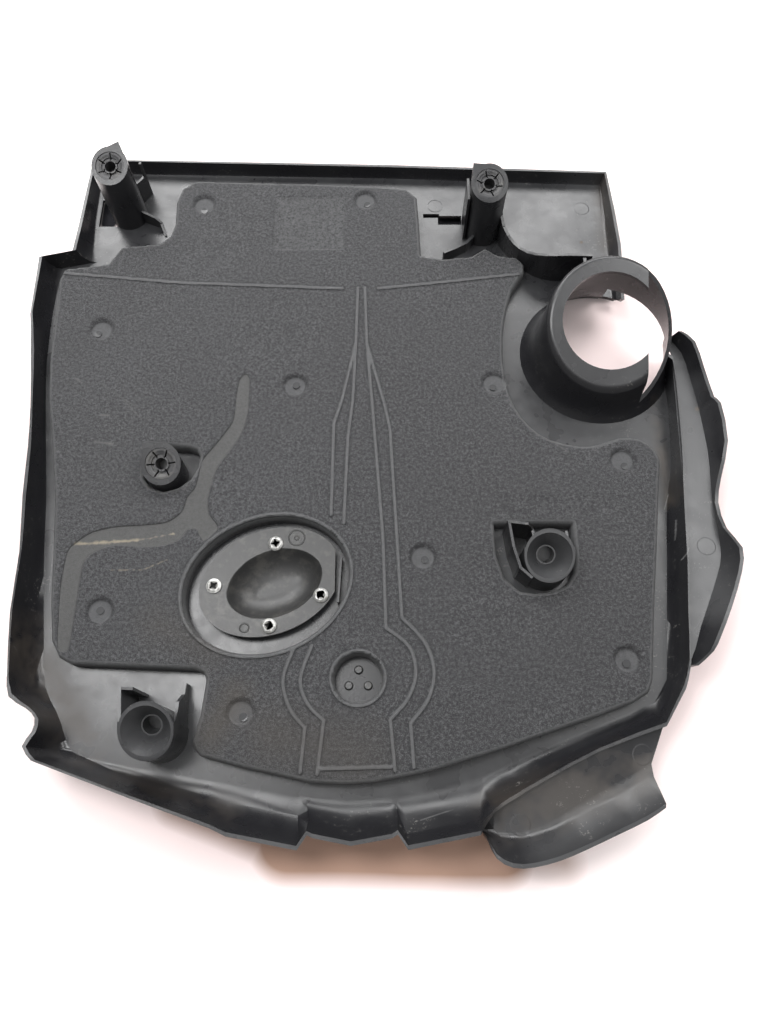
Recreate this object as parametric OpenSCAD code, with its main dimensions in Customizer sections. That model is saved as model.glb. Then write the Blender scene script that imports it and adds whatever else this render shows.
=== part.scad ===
// Engine cover seen from its underside: a moulded shell with a foam mat pressed over its pins,
// three ball-stud bushes, an oval badge carrier on four screws and a round badge on three stakes.
// Millimetres, +Z up out of the underside, origin under the middle of the part, outer face down.

/* [Shell] */
// Height of the inner floor over the table, which the outer swages rest on
floor_z = 8; // [7:0.5:10]
// Wall thickness of the floor
floor_wall = 3; // [2.5:0.5:4]
// Wall thickness of the skirts and flanges
skirt_wall = 2.4; // [2:0.2:3]
// Width of the raised swages on the outer face
swage_w = 13; // [9:1:16]

/* [Foam mat] */
// Thickness of the mat
mat_t = 12; // [9:0.5:14]
// Height of the moulded ridges on the mat
ridge_h = 1.4; // [0.8:0.2:2.4]
// Width of the moulded ridges
ridge_w = 2.8; // [2:0.2:4]
// Depth of the smooth channel pressed into the mat
channel_depth = 2; // [1:0.5:3]
// Radius of the round dimples over the pins
dimple_r = 8.8; // [7:0.2:10]
// Depth of the dimples
dimple_depth = 3.5; // [2:0.5:5]
// Radius of the shell pins that hold the mat
pin_r = 2.6; // [2:0.1:3.2]
// Play of a pin in its hole in the mat
pin_play = 0.2; // [0.1:0.05:0.4]

/* [Ball-stud sockets] */
// Lean of every socket and of the collar's rim from the floor's normal, in degrees
socket_tilt = 20.6; // [16:0.2:24]
// Radius of a bush
bush_r = 10.7; // [10:0.1:11.2]
// Length of a bush
bush_len = 12; // [10:0.5:14]
// Radius of the bore that takes the ball stud
stud_r = 4; // [3.4:0.1:4.6]
// Wall around a bush
socket_wall = 3; // [2.4:0.1:3.6]
// Play of a bush in its socket
bush_play = 0.1; // [0.05:0.05:0.2]
// Width of the six slots in a bush
slot_w = 1; // [0.8:0.1:1.4]

/* [Funnel cups] */
// Outer radius of a cup
cup_r = 16.6; // [15.6:0.2:17.6]
// Wall at the rim of a cup
cup_wall = 1.6; // [1.2:0.1:2]
// Depth of the funnel
funnel_depth = 13; // [11:0.5:14]
// Radius of the bore at the bottom of a cup
cup_bore_r = 5.6; // [5:0.1:6.2]
// Length of that bore
cup_bore_len = 13; // [10:0.5:14]

/* [Filler collar] */
// Outer radius of the collar at its rim
collar_r = 44; // [42:0.5:46]
// Height of the rim's middle over the floor
collar_h = 47; // [44:1:50]
// Radius of the opening in the lip
collar_open_r = 34.5; // [33:0.5:36]
// Wall thickness of the collar
collar_wall = 2.4; // [2:0.2:3]

/* [Badge carrier] */
// Half the length of the oval carrier plate
carrier_a = 48.5; // [47:0.5:50]
// Half the width of the oval carrier plate
carrier_b = 36; // [35:0.5:37.5]
// Turn of the plate's and the bowl's long axis from the X axis, in degrees
oval_turn = 22; // [18:1:26]
// Thickness of the carrier plate
carrier_t = 2.4; // [2:0.2:3]
// Half the length of the carrier's bowl
bowl_a = 32; // [30:0.5:33]
// Half the width of the carrier's bowl
bowl_b = 22; // [20:0.5:22.5]
// Height of the screw bosses over the floor
boss_h = 6; // [5:0.5:7]
// Radius of a screw's shank
screw_r = 1.6; // [1.4:0.1:1.8]
// Radius of a screw's head
screw_head_r = 5; // [4.4:0.1:5.4]

/* [Round badge] */
// Radius of the round badge
badge_r = 13.5; // [12.5:0.5:15]
// Radius of a stake
stake_r = 2; // [1.6:0.1:2.4]
// Radius of a stake's melted head
stake_head_r = 3.1; // [2.8:0.1:3.4]

/* [Hidden] */
eps = 0.02;
mat_z = floor_z + mat_t;
outer_z = floor_z - floor_wall;
round_fn = 64;
small_fn = 32;

// A point a share s of the way from b to c, on a smooth curve that also heeds a and d
function along(a, b, c, d, s) =
    0.5 * (2 * b + (c - a) * s + (2 * a - 5 * b + 4 * c - d) * s * s + (3 * b - a - 3 * c + d) * s * s * s);
// Smooth curve through rows of numbers, with n steps between two rows
function curve(rows, n) = concat(
    [for (i = [0 : len(rows) - 2]) for (k = [0 : n - 1])
        along(rows[max(i - 1, 0)], rows[i], rows[i + 1], rows[min(i + 2, len(rows) - 1)], k / n)],
    [rows[len(rows) - 1]]);
function plan_dir(a, b) = norm(b - a) < eps ? [0, 0] : (b - a) / norm(b - a);

// Skirt all round, anticlockwise from the rear left: floor edge x, y, rim x, y, rise of the rim
skirt_rear_left = [
    [-236, 266, -240, 268.5, 12], [-234, 198, -241, 199, 15], [-231, 176, -241.5, 174, 17],
    [-258, 170, -266, 167.5, 18]];
skirt_left = [
    [-259, 126, -265, 116, 19], [-257, 84, -259, 83, 18], [-252, 46, -254, 42, 17], [-246, 8, -249, 6, 18],
    [-240, -30, -245, -32, 21], [-236, -66, -240, -72, 24], [-231, -100, -238, -113, 27],
    [-226, -132, -233, -153, 28]];
skirt_lobe = [
    [-226, -134, -233, -154, 28], [-221, -158, -229, -166, 28], [-212, -173, -217, -174, 28],
    [-207, -182, -210.5, -181, 28], [-203, -191, -211, -189, 28], [-198, -198, -215, -197, 29],
    [-191, -201, -208, -204.5, 30]];
skirt_front = [
    [-166, -206, -154, -223, 30], [-110, -215, -103, -239.7, 30], [-98, -217, -93, -244, 30],
    [-56, -224, -52, -251.3, 30], [-50, -224.8, -46.7, -243.4, 29], [-46, -225, -43, -245, 28],
    [-22, -226.6, -21, -249, 28], [1.7, -225, 2.5, -245, 28], [6, -224.3, 6, -243, 29],
    [10.5, -223.7, 11.7, -251, 30], [59, -212, 54, -243.4, 28]];
skirt_crease = [
    [59, -212, 54, -243.4, 28], [67, -208.5, 63, -231.5, 22], [78, -203.5, 76, -223.5, 21],
    [96, -197, 92, -215, 20], [134, -182, 129, -197, 19], [172, -168, 171, -182, 20]];
skirt_right = [
    [181.5, -153, 184, -160, 22], [185, -127, 190, -144, 21], [188.5, -100, 193.5, -112, 21],
    [192, -72, 197.5, -79, 21], [195.5, -43, 200.5, -48, 20], [199.5, -20, 203, -20, 20],
    [204, 0, 205.5, 4, 20], [208, 50, 208, 52, 20], [207, 72, 208, 74, 20]];
skirt_rear_right = [
    [176, 110, 178, 110, 12], [175, 183, 182, 183, 12], [176, 218, 181, 218, 11],
    [176.5, 253.5, 179, 256, 11], [0, 261, 0, 262.5, 11]];
skirt_rows = concat(
    skirt_rear_left, curve(skirt_left, 2), curve(skirt_lobe, 2), skirt_front,
    curve(skirt_crease, 2), curve(skirt_right, 2), skirt_rear_right);

// The part is moved so that the middle of its box is the origin; the box ends a wall beyond the
// skirt's rim on the left and at the rear, at the wing's rim on the right and at the scoop's in front
box_left = -265.89 - skirt_wall;
box_right = 233.85;
box_front = -263.11;
box_rear = 267.37 + skirt_wall;
middle = [-(box_left + box_right) / 2, -(box_front + box_rear) / 2, 0];

// The point in a direction from the bowl's middle that lies a gap beyond the bowl's edge
function beyond_bowl(way, gap) = let (
    turn = atan2(way[1], way[0]),
    reach = bowl_a * bowl_b / norm([bowl_b * cos(turn - oval_turn), bowl_a * sin(turn - oval_turn)]))
    bowl + (reach + gap) * [cos(turn), sin(turn)];

// Places in the frame of the outlines above
post_left = [-208.9, 221.5];
post_right = [76.9, 205];
post_top = 62;
side_boss = [-155, -10.7];
side_top = 32;
cup_right = [106, -77.5];
cup_right_top = 35;
cup_left = [-142.5, -188.7];
cup_left_top = 45;
collar = [158, 89];
carrier = [-78.1, -89.3];
bowl = [-75, -90.8];
badge = [-18.5, -154.1];
screws = [
    beyond_bowl([-0.5, 26.5], 4.6), beyond_bowl([-38.9, -2.2], 10), beyond_bowl([32.2, -8.9], 5.4),
    beyond_bowl([-2.2, -29.3], 6)];
stakes = [for (a = [90, 207, 333]) badge + 7 * [cos(a), sin(a)]];
pins = [
    [-146.5, 218], [-15.5, 224.5], [-217, 102.3], [-66.3, 58.3], [77.7, 56.5], [167.2, -6.2],
    [25.4, -75.2], [153.5, -144.6], [-188.3, -110], [-90, -178]];
// A pin sits a little off the middle of its dimple
dimples = [
    [-146.9, 223.3], [-17.3, 227.4], [-214.7, 105.4], [-67, 57.5], [78.4, 59.2], [165.9, -2.5],
    [24.1, -73.8], [154, -142.7], [-188.3, -110.7], [-91.9, -175.7]];

socket_r = bush_r + bush_play;
tower_r = socket_r + socket_wall;
socket_sink = 0.6;
cup_lip_r = cup_r - cup_wall;
bowl_wall = 1.2;
// From the bowl's inner face to the edge of the hole it hangs in
bowl_gap = bowl_wall + 1.4;
// Height of the bowl's inner bottom over the table
bowl_bottom = 2.5;

module at(p, z = 0) {
    translate([p[0], p[1], z]) children();
}

// Everything under a plane that leans as the sockets do, through the point above p at height z
module under_lean(p, z, size = 220) {
    at(p, z) rotate([socket_tilt, 0, 0]) translate([-size / 2, -size / 2, -size]) cube(size);
}

module oval(a, b) {
    rotate([0, 0, oval_turn]) polygon([for (k = [0 : 71]) [a * cos(5 * k), b * sin(5 * k)]]);
}

// A band of even width along a path
module band(path, w, h, z) {
    for (i = [0 : len(path) - 2]) {
        run = path[i + 1] - path[i];
        at(path[i], z) rotate([0, 0, atan2(run[1], run[0])])
            translate([-w / 2, -w / 2, 0]) cube([norm(run) + w, w, h]);
    }
}

// Overlapping bands or skins joined into one solid
module joined() {
    resize([0, 0, 0]) children();
}

// Closed skin over rows of points, each row from the inside of the part to its rim
module skin(rows, wall) {
    n = len(rows);
    m = len(rows[0]);
    ways = [for (r = rows) plan_dir([r[0][0], r[0][1]], [r[m - 1][0], r[m - 1][1]])];
    backs = [for (i = [0 : n - 1]) [for (k = [0 : m - 1])
        rows[i][m - 1 - k] + [ways[i][0] * wall, ways[i][1] * wall, k == 0 ? 0 : -wall]]];
    ring = [for (i = [0 : n - 1]) concat(rows[i], backs[i])];
    points = [for (r = ring) each r];
    w = 2 * m;
    sides = [for (i = [0 : n - 2]) for (k = [0 : w - 1]) let (j = (k + 1) % w)
        each [[i * w + k, (i + 1) * w + k, (i + 1) * w + j], [i * w + k, (i + 1) * w + j, i * w + j]]];
    first = [for (k = [0 : m - 2]) each [[k, k + 1, w - 1 - k], [k + 1, w - 2 - k, w - 1 - k]]];
    last = [for (f = first) [for (k = [2 : -1 : 0]) f[k] + (n - 1) * w]];
    polyhedron(points, concat(sides, first, last), convexity = 8);
}

// Shell

// The dish: a flat floor with a hollow curve up to the rim all round
module dish() {
    steps = [[0, 0], [0.42, 0.12], [0.8, 0.5], [1, 1]];
    m = len(steps);
    n = len(skirt_rows);
    ways = [for (r = skirt_rows) plan_dir([r[0], r[1]], [r[2], r[3]])];
    inner = [for (r = skirt_rows) [for (s = steps)
        [r[0] + (r[2] - r[0]) * s[0], r[1] + (r[3] - r[1]) * s[0], floor_z + r[4] * s[1]]]];
    outer = [for (i = [0 : n - 1]) [for (k = [m - 1 : -1 : 0])
        let (sag = k == m - 1 ? 0 : k == 0 ? floor_wall : skirt_wall)
        inner[i][k] + [ways[i][0] * skirt_wall, ways[i][1] * skirt_wall, -sag]]];
    w = 2 * m;
    points = [for (i = [0 : n - 1]) each concat(inner[i], outer[i])];
    sides = [for (i = [0 : n - 1]) for (k = [0 : w - 2]) let (j = (i + 1) % n)
        each [[i * w + k, j * w + k, j * w + k + 1], [i * w + k, j * w + k + 1, i * w + k + 1]]];
    top = [for (i = [n - 1 : -1 : 0]) i * w];
    base = [for (i = [0 : n - 1]) i * w + w - 1];
    polyhedron(points, concat(sides, [top], [base]), convexity = 10);
}

// A rim point given on the outer edge, moved in by the wall
function inward(foot, rim) = rim - skirt_wall * plan_dir(foot, rim);

// Side wing beyond the right wall: shelf edge, shelf foot and the rim's outer edge
module wing() {
    shelf = floor_z + 18;
    rows = [
        [189, -148, 190, -147.5, 193, -148.5, 26], [191, -140, 196, -136, 203, -140, 28],
        [193, -125, 201, -123, 209, -130, 29], [195, -108, 208, -108, 218, -112, 30],
        [197.5, -88, 217, -88, 228, -89, 30], [199, -72, 221.5, -74, 231, -73, 30],
        [201, -54, 222, -56, 225, -58, 25], [202, -37, 221.5, -37, 224, -38, 21],
        [203, -20, 222.5, -20, 227, -21, 25], [204.6, 2, 223.8, 2, 233.4, 4, 30],
        [206, 30, 222.5, 31, 233, 33, 30], [206.5, 37, 222, 37.5, 229, 38, 30],
        [207.5, 60, 219.5, 60, 225.5, 61, 30], [208, 80, 216, 81, 222, 83, 30],
        [203, 92, 208, 93, 213.5, 91.5, 30]];
    smooth = curve(rows, 2);
    skin([for (r = smooth) let (rim = inward([r[0], r[1]], [r[4], r[5]]))
        [[r[0], r[1], shelf], [r[2], r[3], shelf], [rim[0], rim[1], floor_z + r[6]]]], skirt_wall);
}

// Scoop beyond the front crease: foot of the crease, bottom of the channel, outer edge of the rim
module scoop() {
    rows = [
        [55, -240, 56, -243, 57.5, -249, 27], [63.5, -232, 63, -243, 62, -258, 29],
        [74, -225.5, 76, -243, 71, -262.7, 30], [83, -221, 88, -241, 83, -262.5, 30],
        [92.5, -216, 100, -237, 98, -259, 30], [110, -208, 114, -229, 114, -253, 30],
        [129.5, -198.5, 133, -220, 133, -245, 30], [149, -190, 149, -212, 150, -237.6, 30],
        [170, -183, 161, -206, 161, -231, 30]];
    smooth = curve(rows, 2);
    skin([for (r = smooth) let (rim = inward([r[0], r[1]], [r[4], r[5]])) [
        [r[0], r[1], floor_z + 17.5], [r[2], r[3], floor_z + 13],
        [(2 * r[2] + rim[0]) / 3, (2 * r[3] + rim[1]) / 3, floor_z + 14.5],
        [rim[0], rim[1], floor_z + r[6]]]], skirt_wall);
}

// Raised swages of the outer face, which the cover lies on
module swages() {
    spine_left = [[-46, -205], [-46, -185], [-60, -150], [-34, -100], [-34, 30], [-23, 92], [-20, 140]];
    spine_right = [[9, -205], [9, -185], [22, -150], [4, -110], [3, 30], [-14, 92], [-17, 140]];
    flank_left = [[-75, -190], [-190, -150], [-215, -60], [-220, 110], [-80, 120], [-75, 200], [-10, 215]];
    flank_right = [[50, -180], [130, -150], [160, -60], [120, -5], [70, 40], [60, 130], [20, 200]];
    for (path = [spine_left, spine_right, flank_left, flank_right]) {
        band(path, swage_w, outer_z + 1, 0);
    }
}

// Outline of a tower: round, with a square back or else one square corner
module tower_outline(r, turn, back) {
    circle(r, $fn = round_fn);
    if (back > 0) {
        translate([-r, 0]) square([2 * r, back]);
    } else {
        rotate([0, 0, turn]) square(r * 0.95);
    }
}

// A tower standing straight on the floor, with its top face leaning as the sockets do
module tower(p, top, r, turn, back = 0) {
    intersection() {
        at(p, outer_z + 1) linear_extrude(top + r) tower_outline(r, turn, back);
        under_lean(p, top);
    }
}

// Pocket that leaves a tower hollow behind, under its socket
module tower_pocket(p, top, r, solid) {
    pocket_r = r - 2.6;
    at(p, floor_z + eps) {
        cylinder(h = top - solid - floor_z, r = pocket_r, $fn = round_fn);
        translate([-pocket_r, 0, 0]) cube([2 * pocket_r, r * 1.6, top - solid - floor_z]);
    }
}

module socket_hole(p, top) {
    at(p, top) rotate([socket_tilt, 0, 0])
        translate([0, 0, -bush_len - socket_sink]) cylinder(h = bush_len + 20, r = socket_r, $fn = round_fn);
}

module cup_hole(p, top) {
    floor_r = cup_bore_r + 0.9;
    at(p, top) rotate([socket_tilt, 0, 0]) {
        translate([0, 0, -funnel_depth])
            cylinder(h = funnel_depth, r1 = floor_r, r2 = cup_lip_r, $fn = round_fn);
        translate([0, 0, -eps]) cylinder(h = 10, r = cup_lip_r, $fn = round_fn);
        translate([0, 0, -funnel_depth - cup_bore_len])
            cylinder(h = cup_bore_len + 1, r = cup_bore_r, $fn = round_fn);
    }
}

module socket_tower(p, top, turn) {
    head = 22;
    difference() {
        tower(p, top, tower_r, turn);
        socket_hole(p, top);
        tower_pocket(p, top, tower_r, head);
    }
}

module cup_tower(p, top, back) {
    difference() {
        tower(p, top, cup_r, 0, back);
        cup_hole(p, top);
    }
}

// Upright plate from one place to another, its top given by rows of run and height over the floor
module plate(from, to, tops, wall = 1.8) {
    run = to - from;
    over = wall / 2;
    long = norm(run) + 2 * over;
    at(from, floor_z) rotate([0, 0, atan2(run[1], run[0])]) translate([-over, wall / 2, 0]) rotate([90, 0, 0])
        linear_extrude(wall) polygon(concat([[0, -1]], [for (t = tops) [t[0] * long, t[1]]], [[long, -1]]));
}

// Thin upright plates beside the towers
module fins() {
    // beside the rear left post: a gusset with a tall thin end, and a low plate to the front
    plate(post_left, [-194.6, 245], [[0, 24], [0.8, 20], [0.93, 20], [0.93, 33], [1, 33]]);
    plate(post_left, [-181.7, 210], [[0, 14], [0.85, 10], [1, 6]]);
    plate([-181.7, 210], [-178.5, 202], [[0, 6], [1, 1]]);
    // between the carrier's straight edge and the mat
    plate([-30.9, -73], [-32.4, -103], [[0, 7.5], [1, 7.5]], 1.2);
    // beside the rear right post
    plate(post_right + [-tower_r - 1, -6], post_right + [-tower_r - 1, 12], [[0, 45], [1, 45]]);
    plate(post_right + [-tower_r - 1, -3], post_right + [-tower_r + 2, -3], [[0, 44], [1, 44]]);
    // round the right cup: a curved wall on its left and a back wall with a dip
    plate(cup_right + [-25, 24], cup_right + [-23, 7], [[0, 26], [1, 26]]);
    plate(cup_right + [-23, 7], cup_right + [-19, -7], [[0, 26], [1, 24]]);
    plate(cup_right + [-19, -7], cup_right + [-12, -13], [[0, 24], [1, 22]]);
    plate(cup_right + [-25, 24], cup_right + [-9, 21], [[0, 26], [0.75, 28], [1, 20]]);
    plate(cup_right + [-9, 21], cup_right + [-8, 12], [[0, 20], [1, 22]]);
    plate(cup_right + [14, 4], cup_right + [14, 19], [[0, 24], [1, 19]]);
    plate(cup_right + [2, 18.2], cup_right + [14.4, 18.2], [[0, 18], [1, 18]]);
    // behind the left cup: a full wall with a lip on its left, one that steps down on its right
    plate(cup_left + [-15.6, 3], cup_left + [-18.5, 25], [[0, 37], [1, 36]]);
    plate(cup_left + [-18.5, 25], cup_left + [-12, 25], [[0, 36], [1, 34]]);
    plate(cup_left + [14.9, 3], cup_left + [14, 31], [[0, 36], [0.35, 27], [0.55, 25], [0.75, 12], [1, 9]]);
}

// Bent wall from the rear right post to the collar, lower in its bend, and the low one on the post's
// other side
module webs() {
    wall = 2.2;
    low = 11;
    foot = floor_z - 1;
    bend = curve([
        [88, 206, 32], [91, 193, 23], [99, 180, 18], [110, 168, 21], [123, 160.5, 28], [138, 158.5, 31],
        [154, 158, 31]], 2);
    for (i = [0 : len(bend) - 2]) {
        from = bend[i];
        to = bend[i + 1];
        plate([from[0], from[1]], [to[0], to[1]], [[0, from[2]], [1, to[2]]], wall);
    }
    at([148, 132], foot) cube([wall, 28, 31]);
    band(curve([[70, 196], [63, 187], [46, 178]], 2), wall, low, foot);
}

// How far the collar's wall stands out from its radius, by height over the floor
collar_flare = [[0, 13], [5, 8.5], [14, 5.2], [26, 3.2], [40, 1.8], [75, 0]];
collar_round = 4.5;
collar_lip = 2.6;
collar_steps = 48;

// Round body of the collar's inside, from below the floor up
module collar_body(step, below) {
    rotate_extrude($fn = collar_steps) polygon(concat(
        [[0, -below], [collar_r + collar_flare[0][1] + step, -below]],
        [for (p = collar_flare) [collar_r + p[1] + step, p[0]]],
        [[0, 75]]));
}

// Section through the collar at an angle: up the outer wall, over the rounded rim, under the lip and down
function collar_section(a) = let (
    s = sin(a),
    way = [cos(a), s],
    lean = tan(socket_tilt),
    top = collar_h + collar_r * s * lean,
    side = [for (t = [0, 0.12, 0.3, 0.55, 1]) t * (top - collar_round)],
    reach = [for (z = side) collar_r + lookup(z, collar_flare)],
    rim = collar_r + lookup(top, collar_flare),
    turns = [for (f = [22, 45, 67, 90]) [rim - collar_round * (1 - cos(f)), collar_round * (1 - sin(f))]],
    mouth = [collar_open_r * cos(a), collar_open_r * s * cos(socket_tilt)],
    mouth_z = collar_h + mouth[1] * lean,
    inner = rim - collar_wall)
    concat(
        [[reach[0] * way[0], reach[0] * way[1], 0.5 - floor_wall]],
        [for (i = [0 : len(side) - 1]) [reach[i] * way[0], reach[i] * way[1], side[i]]],
        [for (t = turns) [t[0] * way[0], t[0] * way[1], collar_h + t[0] * s * lean - t[1]]],
        [[mouth[0], mouth[1], mouth_z], [mouth[0], mouth[1], mouth_z - collar_lip]],
        [[inner * way[0], inner * way[1], collar_h + inner * s * lean - collar_lip - 1.5]],
        [for (i = [len(side) - 2 : -1 : 0])
            [(reach[i] - collar_wall) * way[0], (reach[i] - collar_wall) * way[1], side[i]]],
        [[(reach[0] - collar_wall) * way[0], (reach[0] - collar_wall) * way[1], 0.5 - floor_wall]]);

module collar_ring() {
    n = collar_steps;
    rings = [for (i = [0 : n - 1]) collar_section(360 * i / n)];
    w = len(rings[0]);
    sides = [for (i = [0 : n - 1]) for (k = [0 : w - 1]) let (j = (k + 1) % w, next = (i + 1) % n * w)
        each [[i * w + k, next + j, next + k], [i * w + k, i * w + j, next + j]]];
    at(collar, floor_z) polyhedron([for (r = rings) each r], sides, convexity = 8);
}

module collar_tube() {
    notch_x = 25.8;
    clear_h = floor_z + 23;
    difference() {
        collar_ring();
        // the lip and the wall are cut away on the right, lower towards the front
        at([collar[0] + notch_x, collar[1] - 2], floor_z + 34) rotate([31, 0, 0])
            translate([0, -90, 0]) cube([70, 180, 70]);
        // the wall ends well over the ground behind, outside the dish
        at([collar[0] + 22, collar[1] + 2], -1) cube([60, 80, clear_h]);
        at([collar[0] + 8, collar[1] + 30], -1) cube([60, 60, clear_h]);
    }
}

module mat_pins() {
    pin_h = mat_t - dimple_depth + 1.6;
    for (p = pins) {
        at(p, floor_z - 1) cylinder(h = pin_h + 1, r = pin_r, $fn = small_fn);
    }
}

module carrier_bosses() {
    boss_r = 4.4;
    // a boss ends this far outside the hole's edge
    rim = 0.3;
    for (p = screws) {
        difference() {
            at(p, floor_z - 1) cylinder(h = boss_h + 1, r = boss_r, $fn = small_fn);
            at(p, floor_z + 0.3) cylinder(h = boss_h, r = screw_r, $fn = small_fn);
            at(bowl, floor_z - 2) linear_extrude(boss_h + 3)
                oval(bowl_a + bowl_gap + rim, bowl_b + bowl_gap + rim);
        }
    }
}

module shell_openings() {
    // slots beside the rear posts
    at([-234, 211], -1) cube([17, 27, floor_z + 2]);
    at([42, 213], -1) cube([19, 9, floor_z + 2]);
    at([30, 220], -1) cube([13, 4, floor_z + 2]);
    // oval hole for the carrier's dome
    at(bowl, -1) linear_extrude(floor_z + 2) oval(bowl_a + bowl_gap, bowl_b + bowl_gap);
    // holes for the stakes of the round badge
    for (p = stakes) {
        at(p, -1) cylinder(h = floor_z + 2, r = stake_r + 0.1, $fn = small_fn);
    }
}

// Dish, wing, scoop, swages and thin walls as one skin, open at the holes and where the collar stands
module shell_skin() {
    joined() {
        difference() {
            union() {
                dish();
                wing();
                scoop();
                swages();
                webs();
                fins();
            }
            at(collar, floor_z) collar_body(-collar_wall / 2, floor_z + 5);
            shell_openings();
        }
        collar_tube();
    }
}

module cover_shell() {
    color([0.09, 0.09, 0.1]) translate(middle) {
        shell_skin();
        socket_tower(post_left, post_top, 24);
        socket_tower(post_right, post_top, 86);
        socket_tower(side_boss, side_top, 88);
        cup_tower(cup_right, cup_right_top, 5);
        cup_tower(cup_left, cup_left_top, 5);
        mat_pins();
        carrier_bosses();
    }
}

// Foam mat

mat_outline = concat(
    [[-253, 150], [-250.5, 160.5], [-217, 165.5], [-212, 175], [-208, 181.5], [-179, 184.8], [-171.5, 192],
     [-168.5, 204], [-169.5, 226], [-166, 239.5], [-155.5, 247.5], [-65.5, 245], [-2, 241.5], [16, 239.5],
     [24.5, 231.5], [26, 204], [27, 173.5], [44, 170.5], [66, 173], [77.5, 181], [88, 173.5], [102, 172],
     [107, 165.5], [106.5, 157], [103, 152.5]],
    curve([[96, 140.5], [89, 113], [86.5, 87], [87.5, 61.5], [92.5, 41], [102.5, 25], [116, 14.5], [137, 9],
           [151, 10.5], [165.5, 15.5], [180, 14.5], [189.5, 6.5], [192.5, -2.5]], 2),
    [[190, -18], [181, -76], [176.5, -103], [169, -155], [165.5, -163], [155.5, -169], [133, -177],
     [69, -198], [26, -210.5], [8, -214], [-9, -217], [-25.5, -218], [-47, -217], [-65, -213], [-87, -208.5],
     [-115, -201.5], [-119.5, -196.5], [-120.5, -193], [-117, -177], [-115, -155], [-117, -150.5],
     [-122.5, -148.5], [-202.5, -145], [-210.5, -141], [-217, -130], [-221.5, -103.5], [-224.5, -76],
     [-229.5, -32.5], [-240, 21], [-245.5, 45], [-249.5, 76], [-251.5, 130]]);
// Room in the mat's oval hole round the carrier plate, along and across it
mat_room = [7.1, 9];
mat_oval = carrier + [-1.8, -2.7];
mat_oval_r = [carrier_a + mat_room[0], carrier_b + mat_room[1]];
badge_opening_r = 15.4;
ridge_paths = [
    [[-249, 155.5], [-159, 147], [-34, 141.5]], [[-6.5, 141.5], [49, 148.5], [102, 155]],
    [[-22, 142], [-22.9, 93], [-32.4, 45], [-37.8, 25.7], [-38.1, -44]],
    [[-22.9, 93], [-24.5, 45], [-27.6, 15], [-29.3, -50]],
    [[-16.6, 142], [-14.7, 92], [-10.7, 45], [-2.7, -60], [-0.7, -122]],
    [[-14.7, 92], [-2, 42.7], [2.3, 21.7], [9.7, -115.4]],
    curve([[-0.7, -122], [14, -134], [18.3, -151], [13, -167], [1.7, -180]], 3),
    curve([[9.7, -115.4], [24, -131], [29.8, -149], [26, -167], [14.8, -181.7]], 3),
    curve([[-59.9, -135], [-66, -155], [-61, -173], [-51, -184.7]], 3),
    curve([[-48.4, -133.5], [-55, -154.7], [-50, -170], [-39.3, -180.5]], 3),
    [[-51, -184.7], [-53, -211]], [[-39.5, -180.5], [-42.7, -212]], [[2, -180.5], [4.7, -210]],
    [[14.5, -181.7], [16.3, -208]], [[-41, -208.9], [2.3, -207.8]]];
channel_path = curve([
    [-104, 67.5], [-106, 45], [-101.5, 25], [-120.5, -6.5], [-125.3, -32.7], [-133, -47], [-161, -53],
    [-194, -61.8], [-209, -76], [-215, -103], [-207, -136]], 2);
channel_w = 9;

// Holes in the mat where the shell's side boss and right cup stand, each with room around it
side_hole = [
    [-15.2, 20.5], [15, 18.5], [20.5, 16.5], [23, 12], [22.5, 3.5], [18, -5.5], [10, -12], [0, -15],
    [-9, -12.5], [-14.5, -6], [-15.2, 0]];
cup_hole_edge = [
    [-33, 28], [-32, 4.5], [-27.5, -10.5], [-18, -19.5], [-8, -21], [4, -19.5], [13, -15.5], [19, -7],
    [20.5, 2], [20.5, 28]];

module mat_tower_holes() {
    for (hole = [[side_boss, side_hole], [cup_right, cup_hole_edge]]) {
        at(hole[0], floor_z - 1) linear_extrude(mat_t + 4) polygon(hole[1]);
    }
}

module foam_mat() {
    color([0.3, 0.3, 0.31]) translate(middle) difference() {
        union() {
            at([0, 0], floor_z) linear_extrude(mat_t) polygon(mat_outline);
            joined() for (path = ridge_paths) {
                band(path, ridge_w, ridge_h + 1, mat_z - 1);
            }
            at(mat_oval, mat_z - 1) linear_extrude(ridge_h + 1) oval(mat_oval_r[0] + 3, mat_oval_r[1] + 3);
            at(badge, mat_z - 1) cylinder(h = ridge_h + 1, r = badge_opening_r + 2, $fn = round_fn);
        }
        at(mat_oval, floor_z - 1) linear_extrude(mat_t + 4) oval(mat_oval_r[0], mat_oval_r[1]);
        at(badge, floor_z - 1) cylinder(h = mat_t + 4, r = badge_opening_r, $fn = round_fn);
        mat_tower_holes();
        for (p = pins) {
            at(p, floor_z - 1) cylinder(h = mat_t + 2, r = pin_r + pin_play, $fn = small_fn);
        }
        for (p = dimples) {
            at(p, mat_z - dimple_depth) cylinder(h = dimple_depth + 1, r = dimple_r, $fn = round_fn);
        }
        joined() band(channel_path, channel_w, channel_depth + 2, mat_z - channel_depth);
        // flat rectangle near the rear edge, and a faint band on the right
        at([-89.5, 178.5], mat_z - 1.5) cube([56, 53, 3]);
        at([84, -30], mat_z - 0.7) cube([101, 22, 3]);
    }
}

// Ball-stud bushes: a slotted ring with a bore, one shape at three places

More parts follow.
